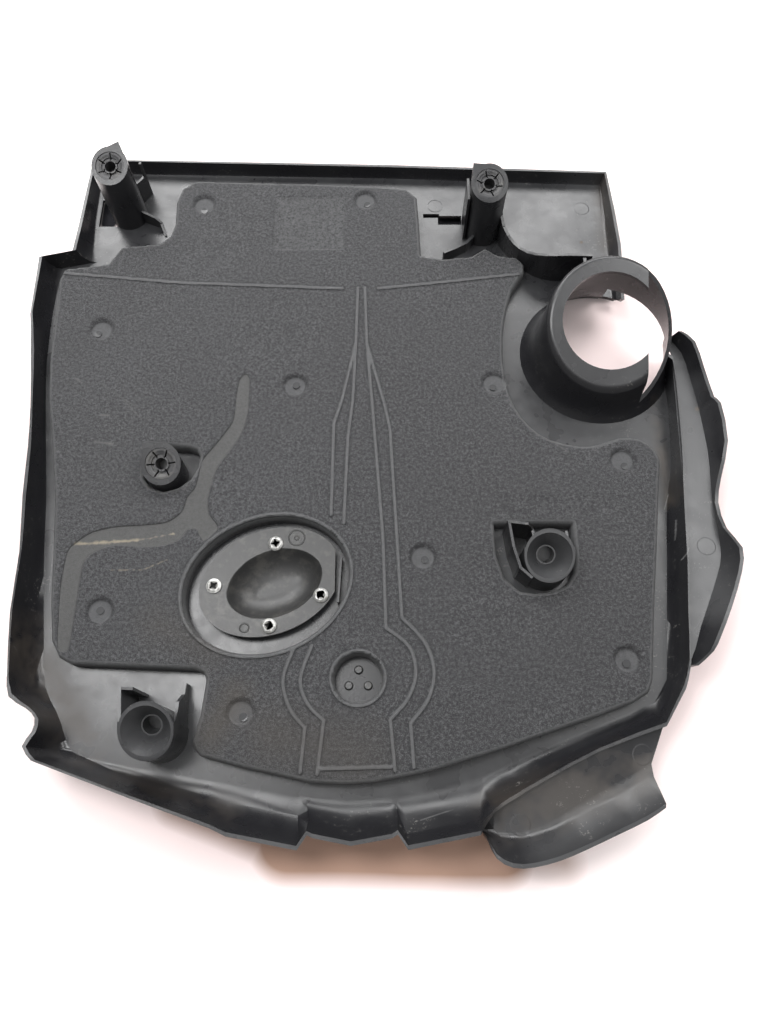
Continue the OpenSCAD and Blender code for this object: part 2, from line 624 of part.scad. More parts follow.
module ball_bush(p, top, turn) {
    hub_r = stud_r + 1.4;
    dish_r = bush_r - 1;
    sink = 2.4;
    color([0.16, 0.16, 0.17]) translate(middle) at(p, top) rotate([socket_tilt, 0, 0])
        translate([0, 0, -bush_len - socket_sink]) rotate([0, 0, turn]) difference() {
            cylinder(h = bush_len, r = bush_r, $fn = round_fn);
            translate([0, 0, -1]) cylinder(h = bush_len + 2, r = stud_r, $fn = round_fn);
            // a dished face between the rim and the hub, with a step halfway
            translate([0, 0, bush_len - sink]) difference() {
                union() {
                    cylinder(h = sink + 1, r = hub_r + 1.6, $fn = round_fn);
                    translate([0, 0, sink / 2])
                        cylinder(h = sink, r1 = hub_r + 2.2, r2 = dish_r + 1.2, $fn = round_fn);
                }
                translate([0, 0, -1]) cylinder(h = sink + 0.2, r = hub_r, $fn = round_fn);
            }
            for (a = [0 : 60 : 300]) {
                rotate([0, 0, a]) translate([hub_r - 0.8, -slot_w / 2, bush_len - 6])
                    cube([dish_r - hub_r + 1, slot_w, 7]);
            }
        }
}

module ball_bush_rear_left() {
    ball_bush(post_left, post_top, 30);
}

module ball_bush_rear_right() {
    ball_bush(post_right, post_top, 47);
}

module ball_bush_side() {
    ball_bush(side_boss, side_top, 5);
}

// Oval badge carrier with its dome through the shell

carrier_z = floor_z + boss_h;

// Bowl: an oval wall that curves down from a soft edge to a closed bottom, open above; each row
// gives how far the wall stands in from the bowl's edge, and how deep, as shares
bowl_rows = [
    [0, 0], [0.03, 0.04], [0.07, 0.15], [0.13, 0.33], [0.24, 0.57], [0.42, 0.8], [0.66, 0.95], [0.88, 1]];

module bowl_form() {
    depth = carrier_z + carrier_t - bowl_bottom;
    top = carrier_z + carrier_t;
    n = 48;
    rim = bowl_b + 1;
    function loop(row, out) = let (step = 1 + out - rim * row[0]) [for (k = [0 : n - 1]) [
        (bowl_a + step) * cos(360 * k / n), (bowl_b + step) * sin(360 * k / n),
        top - depth * row[1] - out * min(1, row[1] * 4)]];
    last = len(bowl_rows) - 1;
    rings = concat(
        [for (i = [last : -1 : 0]) loop(bowl_rows[i], bowl_wall)], [for (r = bowl_rows) loop(r, 0)]);
    m = len(rings);
    sides = [for (i = [0 : m - 2]) for (k = [0 : n - 1]) let (j = (k + 1) % n)
        each [[i * n + k, (i + 1) * n + k, (i + 1) * n + j], [i * n + k, (i + 1) * n + j, i * n + j]]];
    first_cap = [for (k = [0 : n - 1]) k];
    last_cap = [for (k = [n - 1 : -1 : 0]) (m - 1) * n + k];
    rotate([0, 0, oval_turn])
        polyhedron([for (r = rings) each r], concat(sides, [first_cap], [last_cap]), convexity = 6);
}

module badge_carrier() {
    flat_x = carrier_a - 5.2;
    color([0.08, 0.08, 0.09]) translate(middle) {
        difference() {
            at(carrier, carrier_z) linear_extrude(carrier_t) oval(carrier_a, carrier_b);
            // the plate's right edge is cut straight
            at(carrier + [flat_x, -50]) cube([20, 100, 40]);
            at(bowl, carrier_z - 1) linear_extrude(carrier_t + 2)
                oval(bowl_a + 1 + bowl_wall / 2, bowl_b + 1 + bowl_wall / 2);
            for (p = screws) {
                at(p, carrier_z - 1) cylinder(h = carrier_t + 3, r = screw_r + 0.25, $fn = small_fn);
            }
        }
        at(bowl) bowl_form();
    }
}

// Pan-head screws with a cross recess
module badge_screw(p, turn) {
    head_h = 2.4;
    arm = 3;
    slot = 1.3;
    thread_len = boss_h - 0.8;
    z = carrier_z + carrier_t;
    color([0.7, 0.71, 0.72]) translate(middle) at(p, z) difference() {
        union() {
            translate([0, 0, -carrier_t - thread_len])
                cylinder(h = carrier_t + thread_len + eps, r = screw_r - 0.05, $fn = small_fn);
            cylinder(h = head_h * 0.5, r = screw_head_r, $fn = small_fn);
            translate([0, 0, head_h * 0.5 - eps])
                cylinder(h = head_h * 0.5, r1 = screw_head_r, r2 = screw_head_r * 0.62, $fn = small_fn);
        }
        rotate([0, 0, turn]) for (a = [0, 90]) {
            rotate([0, 0, a]) translate([-arm, -slot / 2, head_h - 1.7]) cube([2 * arm, slot, 3]);
        }
        translate([0, 0, head_h - 2]) cylinder(h = 3, r1 = 0.9, r2 = 2.3, $fn = small_fn);
    }
}

module badge_screw_rear() {
    badge_screw(screws[0], 12);
}

module badge_screw_left() {
    badge_screw(screws[1], 38);
}

module badge_screw_right() {
    badge_screw(screws[2], 50);
}

module badge_screw_front() {
    badge_screw(screws[3], 80);
}

// Round badge on the outer face, held by three melted stakes
module round_badge() {
    disc_t = 2.6;
    color([0.1, 0.1, 0.11]) translate(middle) {
        at(badge, outer_z - disc_t) cylinder(h = disc_t, r = badge_r, $fn = round_fn);
        for (p = stakes) {
            at(p, outer_z - 1) cylinder(h = floor_wall + 2, r = stake_r, $fn = small_fn);
            at(p, floor_z) cylinder(h = 1.6, r1 = stake_head_r, r2 = stake_head_r - 0.9, $fn = small_fn);
        }
    }
}

cover_shell();
foam_mat();
ball_bush_rear_left();
ball_bush_rear_right();
ball_bush_side();
badge_carrier();
badge_screw_rear();
badge_screw_left();
badge_screw_right();
badge_screw_front();
round_badge();
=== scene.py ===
"""Looks of an engine cover that lies on its outer face, seen from its inner side.

The moulded shell, the bushes, the carrier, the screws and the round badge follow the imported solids; the
foam mat is modelled here in full. Sizes in the classes are millimetres in the frame of the part's source,
unless a comment says otherwise, and everything that is built is in metres in the part's own frame.
"""

import logging
import math
from dataclasses import dataclass, field
from enum import Enum
from typing import Callable, Sequence

import bmesh
import bpy
import numpy as np
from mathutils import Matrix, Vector

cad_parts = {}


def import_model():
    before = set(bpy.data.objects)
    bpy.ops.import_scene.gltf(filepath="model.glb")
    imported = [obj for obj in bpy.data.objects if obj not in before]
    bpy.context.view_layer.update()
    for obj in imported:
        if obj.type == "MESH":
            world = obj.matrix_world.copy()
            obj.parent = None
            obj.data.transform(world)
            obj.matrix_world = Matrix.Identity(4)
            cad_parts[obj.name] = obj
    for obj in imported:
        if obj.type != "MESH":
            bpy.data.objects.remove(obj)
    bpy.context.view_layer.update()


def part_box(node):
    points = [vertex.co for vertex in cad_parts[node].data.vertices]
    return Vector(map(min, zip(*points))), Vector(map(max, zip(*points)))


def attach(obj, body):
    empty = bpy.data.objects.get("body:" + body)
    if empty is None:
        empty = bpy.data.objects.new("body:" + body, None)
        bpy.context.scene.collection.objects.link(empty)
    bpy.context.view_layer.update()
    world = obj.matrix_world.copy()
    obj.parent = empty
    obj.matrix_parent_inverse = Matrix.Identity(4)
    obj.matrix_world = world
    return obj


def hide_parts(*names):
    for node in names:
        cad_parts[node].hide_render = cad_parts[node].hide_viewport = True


Point = tuple[float, float]
Colour = tuple[float, float, float]

LOG = logging.getLogger("engine_cover")
MM = 0.001
# Corners closer than this are one corner, in metres
JOIN = 2e-6
# From the outlines' frame to the part's frame
MIDDLE = (17.2175, -3.33)
# Height of the shell's inner floor over the table
FLOOR_Z = 8.0
# Places of the mat's dimples, each over a pin of the shell
DIMPLES: tuple[Point, ...] = (
    (-146.9, 223.3), (-17.3, 227.4), (-214.7, 105.4), (-67, 57.5), (78.4, 59.2), (165.9, -2.5),
    (24.1, -73.8), (154, -142.7), (-188.3, -110.7), (-91.9, -175.7),
)
# The screws round the carrier, by side
SCREWS = ("rear", "left", "right", "front")


def place(x: float, y: float, z: float = 0.0) -> Vector:
    """Turn a place of the outlines into a place in the part's frame.

    Args:
        x: Millimetres to the right in the frame of the outlines.
        y: Millimetres to the rear.
        z: Millimetres over the table.

    Returns:
        The same place in metres.
    """
    return Vector(((x + MIDDLE[0]) * MM, (y + MIDDLE[1]) * MM, z * MM))


class Kind(Enum):
    """Shader nodes that the finishes are put together from."""

    COORDS = "ShaderNodeTexCoord"
    NOISE = "ShaderNodeTexNoise"
    MATHS = "ShaderNodeMath"
    VECTORS = "ShaderNodeVectorMath"
    MIX = "ShaderNodeMix"
    RANGE = "ShaderNodeMapRange"
    BUMP = "ShaderNodeBump"
    PLASTIC = "ShaderNodeBsdfPrincipled"
    OUTPUT = "ShaderNodeOutputMaterial"
    ATTRIBUTE = "ShaderNodeAttribute"
    PATH = "ShaderNodeLightPath"
    GROUP = "ShaderNodeGroup"
    NORMAL = "ShaderNodeNewGeometry"
    SPLIT = "ShaderNodeSeparateXYZ"


@dataclass
class Graph:
    """A node tree that is filled by short calls."""

    tree: bpy.types.NodeTree

    def add(self, kind: Kind, **values: object) -> bpy.types.Node:
        """Add a node and set or link its inputs.

        Args:
            kind: The node to add.
            **values: Input names, with spaces as underscores, and what each gets: a number, a colour or
                a socket.

        Returns:
            The new node.
        """
        node = self.tree.nodes.new(kind.value)
        for name, value in values.items():
            self.feed(node, name.replace("_", " "), value)
        return node

    def feed(self, node: bpy.types.Node, name: str | int, value: object) -> None:
        """Set or link one input.

        Args:
            node: The node that has the input.
            name: The input's name or number.
            value: A number, a colour, a vector or a socket.
        """
        socket = node.inputs[name]
        if isinstance(value, bpy.types.NodeSocket):
            self.tree.links.new(value, socket)
        elif socket.type == "RGBA" and len(value) == 3:
            socket.default_value = (*value, 1.0)
        else:
            socket.default_value = value

    def maths(self, way: str, *values: object, clamp: bool = False) -> bpy.types.NodeSocket:
        """Work out one number.

        Args:
            way: The operation's name in Blender.
            *values: Numbers or sockets.
            clamp: Whether the result is kept between 0 and 1.

        Returns:
            The result's socket.
        """
        node = self.add(Kind.MATHS)
        node.operation = way
        node.use_clamp = clamp
        for number, value in enumerate(values):
            self.feed(node, number, value)
        return node.outputs[0]

    def vectors(self, way: str, *values: object, out: str = "Vector") -> bpy.types.NodeSocket:
        """Work out one vector, or a number from vectors.

        Args:
            way: The operation's name in Blender.
            *values: Vectors or sockets.
            out: The output that is wanted.

        Returns:
            The result's socket.
        """
        node = self.add(Kind.VECTORS)
        node.operation = way
        for number, value in enumerate(values):
            if number == 1 and way == "SCALE":
                self.feed(node, "Scale", value)
            else:
                self.feed(node, number, value)
        return node.outputs[out]

    def mix(self, share: object, first: object, second: object) -> bpy.types.NodeSocket:
        """Mix two colours.

        Args:
            share: How much of the second colour shows, from 0 to 1.
            first: A colour or its socket.
            second: The other colour or its socket.

        Returns:
            The mixed colour's socket.
        """
        node = self.add(Kind.MIX)
        node.data_type = "RGBA"
        self.feed(node, 0, share)
        self.feed(node, 6, first)
        self.feed(node, 7, second)
        return node.outputs[2]

    def span(self, value: object, low: float, high: float, to: Point = (0.0, 1.0)) -> bpy.types.NodeSocket:
        """Map a span of a value smoothly to another.

        Args:
            value: The socket to map.
            low: Where the result is the first of to.
            high: Where it is the second.
            to: The two results.

        Returns:
            The mapped value's socket.
        """
        node = self.add(Kind.RANGE, Value=value, From_Min=low, From_Max=high, To_Min=to[0], To_Max=to[1])
        node.interpolation_type = "SMOOTHSTEP"
        return node.outputs["Result"]


# Fills a node group, given its graph, its inputs and a place for its results
Fill = Callable[[Graph, dict, dict], None]


class Effects:
    """Effects that several finishes share, each a node group that is made once."""

    made: dict[str, bpy.types.NodeTree] = {}

    @classmethod
    def group(cls, name: str, takes: dict[str, str], gives: dict[str, str], fill: Fill) -> bpy.types.NodeTree:
        """Make a node group on its first use.

        Args:
            name: The group's name.
            takes: Input names and their socket types.
            gives: Output names and their socket types.
            fill: Fills the group.

        Returns:
            The group's tree.
        """
        if name not in cls.made:
            tree = bpy.data.node_groups.new(name, "ShaderNodeTree")
            for label, kind in takes.items():
                tree.interface.new_socket(label, in_out="INPUT", socket_type=kind)
            for label, kind in gives.items():
                tree.interface.new_socket(label, in_out="OUTPUT", socket_type=kind)
            start = tree.nodes.new("NodeGroupInput")
            end = tree.nodes.new("NodeGroupOutput")
            graph = Graph(tree)
            results = {}
            fill(graph, {label: start.outputs[label] for label in takes}, results)
            for label, socket in results.items():
                tree.links.new(socket, end.inputs[label])
            cls.made[name] = tree
        return cls.made[name]

    @classmethod
    def use(cls, graph: Graph, tree: bpy.types.NodeTree, out: str, **values: object) -> bpy.types.NodeSocket:
        """Place a group in a finish.

        Args:
            graph: The finish's graph.
            tree: The group.
            out: The output that is wanted.
            **values: The inputs, with spaces as underscores.

        Returns:
            The output's socket.
        """
        node = graph.tree.nodes.new(Kind.GROUP.value)
        node.node_tree = tree
        for name, value in values.items():
            graph.feed(node, name.replace("_", " "), value)
        return node.outputs[out]

    @classmethod
    def grain(cls) -> bpy.types.NodeTree:
        """Fine grain: a value round 0.5, with its size and contrast as inputs.

        Returns:
            The group's tree.
        """

        def fill(graph: Graph, takes: dict, gives: dict) -> None:
            """Mix two noises of different size.

            Args:
                graph: The group's graph.
                takes: The group's input sockets by name.
                gives: Filled with the group's results by name.
            """
            small = graph.add(
                Kind.NOISE, Vector=takes["Vector"], Scale=takes["Scale"], Detail=3.0, Roughness=0.7
            )
            wider = graph.maths("MULTIPLY", takes["Scale"], 0.31)
            wide = graph.add(Kind.NOISE, Vector=takes["Vector"], Scale=wider, Detail=2.0)
            both = graph.maths("ADD", small.outputs[0], graph.maths("MULTIPLY", wide.outputs[0], 0.5))
            spread = graph.maths("MULTIPLY", graph.maths("SUBTRACT", both, 0.75), takes["Contrast"])
            gives["Value"] = graph.maths("ADD", spread, 0.5, clamp=True)

        takes = {"Vector": "NodeSocketVector", "Scale": "NodeSocketFloat", "Contrast": "NodeSocketFloat"}
        return cls.group("grain", takes, {"Value": "NodeSocketFloat"}, fill)

    @classmethod
    def stroke(cls) -> bpy.types.NodeTree:
        """Mask of a stroke from one place to another, for scuffs, tears, stains, ejector marks, and painted
        shadows, shade and reflections.

        Returns:
            The group's tree.
        """

        def fill(graph: Graph, takes: dict, gives: dict) -> None:
            """Measure from the stroke's middle line, and give the mask a wavy edge.

            Args:
                graph: The group's graph.
                takes: The group's input sockets by name.
                gives: Filled with the group's results by name.
            """
            flat = graph.vectors("MULTIPLY", takes["Vector"], (1.0, 1.0, 0.0))
            run = graph.vectors("SUBTRACT", takes["End"], takes["Start"])
            reach = graph.vectors("SUBTRACT", flat, takes["Start"])
            along = graph.maths(
                "DIVIDE",
                graph.vectors("DOT_PRODUCT", reach, run, out="Value"),
                graph.maths("ADD", graph.vectors("DOT_PRODUCT", run, run, out="Value"), 1e-9),
                clamp=True,
            )
            foot = graph.vectors("SCALE", run, along)
            away = graph.vectors("DISTANCE", reach, foot, out="Value")
            noise = graph.add(Kind.NOISE, Vector=takes["Vector"], Scale=takes["Wave Scale"], Detail=3.0)
            swing = graph.maths("MULTIPLY", takes["Wave"], 2.0)
            shift = graph.maths("MULTIPLY", graph.maths("SUBTRACT", noise.outputs[0], 0.5), swing)
            wavy = graph.maths("ADD", away, shift)
            inside = graph.maths("SUBTRACT", takes["Half Width"], wavy)
            share = graph.maths("DIVIDE", inside, takes["Softness"])
            gives["Mask"] = graph.maths("ADD", share, 0.5, clamp=True)

        takes = {
            "Vector": "NodeSocketVector",
            "Start": "NodeSocketVector",
            "End": "NodeSocketVector",
            "Half Width": "NodeSocketFloat",
            "Softness": "NodeSocketFloat",
            "Wave": "NodeSocketFloat",
            "Wave Scale": "NodeSocketFloat",
        }
        return cls.group("stroke", takes, {"Mask": "NodeSocketFloat"}, fill)


@dataclass(frozen=True)
class Stroke:
    """A stroke on the part's surface: its two ends, half width, soft edge, waviness and strength."""

    start: Point
    end: Point
    half: float
    soft: float = 1.0
    wave: float = 0.0
    strength: float = 1.0
    wave_scale: float = 60.0

    def mask(self, graph: Graph, coords: bpy.types.NodeSocket) -> bpy.types.NodeSocket:
        """Place the stroke's mask in a finish.

        Args:
            graph: The finish's graph.
            coords: Object coordinates.

        Returns:
            The mask's socket.
        """
        start, end = place(*self.start), place(*self.end)
        mask = Effects.use(
            graph,
            Effects.stroke(),
            "Mask",
            Vector=coords,
            Start=tuple(start),
            End=tuple(end),
            Half_Width=self.half * MM,
            Softness=self.soft * MM,
            Wave=self.wave * MM,
            Wave_Scale=self.wave_scale,
        )
        return graph.maths("MULTIPLY", mask, self.strength)


@dataclass(frozen=True)
class Finish:
    """A finish with a name; each kind of surface has its own class."""

    name: str

    def material(self) -> bpy.types.Material:
        """Make the material, or find the one that was made before.

        Returns:
            The material.
        """
        made = bpy.data.materials.get(self.name)
        if made:
            return made
        made = bpy.data.materials.new(self.name)
        made.use_nodes = True
        made.node_tree.nodes.clear()
        graph = Graph(made.node_tree)
        coords = graph.add(Kind.COORDS).outputs["Object"]
        shader = self.shade(graph, coords)
        output = graph.add(Kind.OUTPUT)
        made.node_tree.links.new(shader.outputs[0], output.inputs["Surface"])
        return made

    def shade(self, graph: Graph, coords: bpy.types.NodeSocket) -> bpy.types.Node:
        """Fill the material.

        Args:
            graph: The material's graph.
            coords: Object coordinates.

        Returns:
            The shader node.
        """
        raise NotImplementedError

    def bump(self, graph: Graph, height: object, depth: float) -> bpy.types.NodeSocket:
        """Add a bump.

        Args:
            graph: The material's graph.
            height: The height's socket.
            depth: Metres that a height of 1 stands up.

        Returns:
            The normal's socket.
        """
        return graph.add(Kind.BUMP, Strength=1.0, Distance=depth, Height=height).outputs["Normal"]

    def strokes(self, graph: Graph, coords: object, strokes: Sequence[Stroke]) -> bpy.types.NodeSocket:
        """Join several strokes into one mask.

        Args:
            graph: The material's graph.
            coords: Object coordinates.
            strokes: What to join.

        Returns:
            The joined mask's socket.
        """
        total = None
        for stroke in strokes:
            mask = stroke.mask(graph, coords)
            total = mask if total is None else graph.maths("MAXIMUM", total, mask)
        return total


@dataclass(frozen=True)
class ShellPlastic(Finish):
    """Black satin plastic with dust, worn brown places, scratches and ejector marks, with painted sheen on
    the faces that look up and painted reflections on some floors.
    """

    black: Colour = (0.011, 0.011, 0.0125)
    # Colour of the film on faces that look up: part dust, part painted sheen
    grey: Colour = (0.036, 0.037, 0.039)
    dust: Colour = (0.075, 0.06, 0.046)
    lint: Colour = (0.3, 0.29, 0.27)
    scratch: Colour = (0.28, 0.28, 0.28)
    # Colour of the painted reflections on the floors
    reflection_grey: Colour = (0.07, 0.071, 0.073)
    rough: float = 0.3
    # Metres that a grain or a mark stands up
    grain_depth: float = 0.00012

    dusty: tuple[Stroke, ...] = (
        Stroke((-236, -128), (-190, -190), 12, 16, 9, 0.3, 45),
        Stroke((-165, -215), (-95, -232), 7, 12, 6, 0.15, 60),
        Stroke((70, -235), (160, -205), 14, 14, 7, 0.3, 40),
        Stroke((175, 190), (178, 250), 5, 8, 5, 0.25, 80),
        Stroke((198, 49), (198, -33), 3, 6, 3, 0.4, 90),
        Stroke((157.2, 195.5), (157.2, 195.5), 1.2, 1, 0.5, 0.9, 200),
        Stroke((221, 34.6), (221, 34.6), 1.4, 1.2, 0.6, 0.9, 200),
    )
    # Painted reflections of the lamps on the wing, the cups, the scoop and the floor at the rear right
    painted_reflections: tuple[Stroke, ...] = (
        Stroke((211, -110), (213, 50), 10, 12, 2, 0.45),
        Stroke((-175, -160), (-125, -160), 14, 22, 4, 0.5, 30),
        Stroke((110, 195), (165, 240), 20, 30, 3, 0.4, 30),
        Stroke((90, -254), (162, -218), 8, 14, 3, 0.35, 40),
        Stroke((106, -77), (106, -77), 16, 4, 1, 0.5, 60),
        Stroke((-142.5, -188), (-142.5, -188), 16, 4, 1, 0.5, 60),
    )
    scratches: tuple[Stroke, ...] = (
        Stroke((197, -60), (199, -46), 0.2, 0.5, 0.5, 0.35, 300),
        Stroke((195, -35), (199, -24), 0.2, 0.4, 0.4, 0.35, 300),
        Stroke((200, -70), (197, -76), 0.2, 0.4, 0.4, 0.4, 300),
        Stroke((-232, 60), (-236, 30), 0.2, 0.5, 0.5, 0.25, 300),
        Stroke((40, -232), (20, -238), 0.2, 0.5, 0.5, 0.2, 300),
        Stroke((-230, -60), (-228, -95), 0.2, 0.5, 0.6, 0.25, 300),
    )
    marks: tuple[Point, ...] = (
        (160.3, 229.4), (212.7, -68.2), (155.6, -200.8), (78.9, -240.6), (-120, 232), (40, 232),
    )
    mark_r: float = 6.0
    pins: tuple[Point, ...] = DIMPLES
    pin_r: float = 4.5

    def shade(self, graph: Graph, coords: bpy.types.NodeSocket) -> bpy.types.Node:
        """Fill the material.

        Args:
            graph: The material's graph.
            coords: Object coordinates.

        Returns:
            The shader node.
        """
        fine = Effects.use(graph, Effects.grain(), "Value", Vector=coords, Scale=1400.0, Contrast=1.2)
        cloud = Effects.use(graph, Effects.grain(), "Value", Vector=coords, Scale=28.0, Contrast=1.6)
        specks = Effects.use(graph, Effects.grain(), "Value", Vector=coords, Scale=620.0, Contrast=3.0)
        up = graph.add(Kind.SPLIT, Vector=graph.add(Kind.NORMAL).outputs["Normal"]).outputs["Z"]
        flat = graph.span(up, 0.8, 0.99)
        # Faces that look up get a grey film: part dust, part painted sheen
        dust_and_sheen = graph.maths("MULTIPLY", flat, graph.span(cloud, 0.3, 0.75, (0.25, 0.6)))
        colour = graph.mix(dust_and_sheen, self.black, self.grey)
        # Painted reflections on the floors
        colour = graph.mix(self.strokes(graph, coords, self.painted_reflections), colour, self.reflection_grey)
        dusty = graph.maths("MULTIPLY", self.strokes(graph, coords, self.dusty), graph.span(cloud, 0.25, 0.6))
        colour = graph.mix(dusty, colour, self.dust)
        linty = graph.span(cloud, 0.5, 0.85, (0.0, 0.3))
        colour = graph.mix(graph.maths("MULTIPLY", graph.span(specks, 0.93, 1.0), linty), colour, self.lint)
        scratched = self.strokes(graph, coords, self.scratches)
        colour = graph.mix(scratched, colour, self.scratch)
        pinned = self.strokes(graph, coords, [Stroke(pin, pin, self.pin_r, 0.6) for pin in self.pins])
        dull = graph.maths("ADD", graph.maths("MULTIPLY", dusty, 0.3), graph.maths("MULTIPLY", pinned, 0.4))
        rough = graph.maths("ADD", graph.span(cloud, 0.2, 0.8, (self.rough - 0.06, self.rough + 0.08)), dull)
        rings = self.rings(graph, coords)
        height = graph.maths("ADD", graph.maths("MULTIPLY", fine, 0.25), rings)
        normal = self.bump(graph, height, self.grain_depth)
        return graph.add(Kind.PLASTIC, Base_Color=colour, Roughness=rough, IOR=1.5, Normal=normal)

    def rings(self, graph: Graph, coords: bpy.types.NodeSocket) -> bpy.types.NodeSocket:
        """Round ejector marks, each a shallow sunk disc.

        Args:
            graph: The material's graph.
            coords: Object coordinates.

        Returns:
            The height's socket.
        """
        return self.strokes(graph, coords, [Stroke(mark, mark, self.mark_r, 0.8) for mark in self.marks])


@dataclass(frozen=True)
class FoamSkin(Finish):
    """Dark grey moulded foam with a speckled skin, lighter where it is pressed smooth, torn on the left, with
    painted shade over broad patches and along the dimples, ridges and channel.

    The mat's mesh carries how far each spot is from the ridges, the edge, the channel, the dimples and the
    recess, in millimetres, so that their borders stay crisp.
    """

    grey: Colour = (0.044, 0.045, 0.048)
    # Colour of the darker cloudy patches, and of the painted shade over broad parts of the mat
    patch_and_shade: Colour = (0.034, 0.034, 0.036)
    # Colour of the dark specks, and of the painted shade round the dimples, beside the ridges and along the
    # channel
    speck_and_shade: Colour = (0.011, 0.011, 0.013)
    pale: Colour = (0.1, 0.1, 0.103)
    crest: Colour = (0.076, 0.077, 0.079)
    smooth: Colour = (0.054, 0.054, 0.053)
    border: Colour = (0.074, 0.075, 0.076)
    torn: Colour = (0.2, 0.175, 0.13)
    scuff: Colour = (0.13, 0.13, 0.125)
    soil: Colour = (0.06, 0.051, 0.041)
    # Metres that a height of 1 stands up
    relief_depth: float = 0.0005
    # Millimetres from each border where its mask is nothing and where it is full
    crest_edge: Point = (1.35, 0.95)
    border_edge: Point = (2.9, 2.3)
    bed_edge: Point = (0.25, -0.25)
    floor_edge: Point = (0.2, -0.4)
    plate_edge: Point = (0.3, -0.3)
    # Bands beside a border: where they begin and are full, and where they have ended and are still full
    groove_band: tuple[Point, Point] = ((1.2, 1.7), (3.6, 2.0))
    rim_band: tuple[Point, Point] = ((-0.3, 0.3), (2.4, 0.6))
    halo_band: tuple[Point, Point] = ((-0.2, 0.4), (4.2, 0.6))

    tears: tuple[Stroke, ...] = (
        Stroke((-210.5, -64.6), (-168.5, -61.8), 0.5, 1.6, 2.2, 0.9, 240),
        Stroke((-168.5, -61.8), (-144.7, -56.8), 0.3, 1.4, 2.6, 0.8, 300),
        Stroke((-184.1, -82.9), (-163.3, -82.9), 0.0, 0.9, 1.9, 0.6, 340),
        Stroke((-163.3, -82.9), (-147.4, -75.9), 0.0, 0.9, 1.9, 0.65, 340),
    )
    scuffs: tuple[Stroke, ...] = (
        Stroke((-207, 11.9), (-194, 9.9), 0.9, 1.6, 1.2, 0.45, 160),
        Stroke((-205.4, 32.9), (-199.6, 32.5), 0.7, 1.4, 0.8, 0.5, 160),
        Stroke((-228.3, 63.3), (-222.6, 59.2), 0.5, 1.4, 0.8, 0.3, 160),
        Stroke((-211, 60), (-176, 36), 0.3, 1.0, 0.8, 0.2, 160),
        Stroke((-190, 44), (-176, 30), 0.4, 1.2, 0.8, 0.25, 160),
        Stroke((120, 10), (128, 4), 0.5, 1.5, 0.8, 0.25, 160),
    )
    # Painted shade over the middle and the right of the mat, and near its front
    painted_shade: tuple[Stroke, ...] = (
        Stroke((-10, 90), (120, -110), 70, 120, 10, 0.7, 12),
        Stroke((-60, -180), (60, -190), 20, 60, 8, 0.6, 20),
    )
    soiled: tuple[Stroke, ...] = (
        Stroke((-70, -190), (-20, -200), 16, 30, 8, 0.3, 40),
        Stroke((-150, -120), (-115, -135), 10, 22, 8, 0.25, 40),
        Stroke((-110, -190), (-95, -165), 9, 16, 5, 0.45, 60),
    )

    def shade(self, graph: Graph, coords: bpy.types.NodeSocket) -> bpy.types.Node:
        """Fill the material.

        Args:
            graph: The material's graph.
            coords: Object coordinates.

        Returns:
            The shader node.
        """
        grains = Effects.use(graph, Effects.grain(), "Value", Vector=coords, Scale=1600.0, Contrast=3.8)
        cloud = Effects.use(graph, Effects.grain(), "Value", Vector=coords, Scale=14.0, Contrast=1.2)
        away = {name: self.read(graph, name) for name in ("ridge", "edge", "bed", "dimple", "recess")}
        crest = graph.span(away["ridge"], *self.crest_edge)
        # Band beside each ridge, sunk a little and darkened with painted shade
        groove = self.ring(graph, away["ridge"], *self.groove_band)
        border = graph.span(away["edge"], *self.border_edge)
        bed = graph.span(away["bed"], *self.bed_edge)
        # Painted shade along the channel's sloping border
        rim = self.ring(graph, away["bed"], *self.rim_band)
        floor = graph.span(away["dimple"], *self.floor_edge)
        # Painted shade in a ring round each dimple
        dimple_shade = self.ring(graph, away["dimple"], *self.halo_band)
        plate = graph.span(away["recess"], *self.plate_edge)
        calm = bed
        for mask in (crest, floor, border):
            calm = graph.maths("MAXIMUM", calm, mask)
        fine = graph.maths("SUBTRACT", 1.0, graph.maths("MULTIPLY", calm, 0.6))
        dark = graph.maths("MULTIPLY", graph.span(grains, 0.48, 0.16), fine)
        light = graph.maths("MULTIPLY", graph.span(grains, 0.62, 0.96), fine)
        # Each mask, how strongly it covers what lies under it, and its colour
        layers = (
            # Painted shade over broad patches
            (self.strokes(graph, coords, self.painted_shade), 1.0, self.patch_and_shade),
            # Painted shade round the dimples, beside the ridges and along the channel's border
            (dimple_shade, 0.5, self.speck_and_shade),
            (groove, 0.45, self.speck_and_shade),
            (rim, 0.3, self.speck_and_shade),
            (plate, 0.5, self.crest),
            (border, 0.7, self.border),
            (floor, 0.4, self.crest),
            (crest, 0.85, self.crest),
            (bed, 1.0, self.smooth),
            (dark, 0.95, self.speck_and_shade),
            (light, 0.7, self.pale),
            (self.strokes(graph, coords, self.soiled), 1.0, self.soil),
            (self.strokes(graph, coords, self.scuffs), 1.0, self.scuff),
            (self.strokes(graph, coords, self.tears), 1.0, self.torn),
        )
        colour = graph.mix(graph.span(cloud, 0.2, 0.8, (0.0, 0.6)), self.grey, self.patch_and_shade)
        for mask, share, layer in layers:
            colour = graph.mix(graph.maths("MULTIPLY", mask, share), colour, layer)
        height = graph.maths("MULTIPLY", grains, graph.maths("MULTIPLY", fine, 0.6))
        # Each mask, and how far it rises or sinks in depths of the relief
        for mask, rise in ((crest, 1.6), (groove, -0.5), (bed, -1.4), (plate, -0.8)):
            height = graph.maths("ADD", height, graph.maths("MULTIPLY", mask, rise))
        return graph.add(
            Kind.PLASTIC,
            Base_Color=colour,
            Roughness=graph.span(grains, 0.2, 0.8, (0.7, 0.9)),
            Sheen_Weight=0.04,
            Sheen_Roughness=0.5,
            Normal=self.bump(graph, height, self.relief_depth),
        )

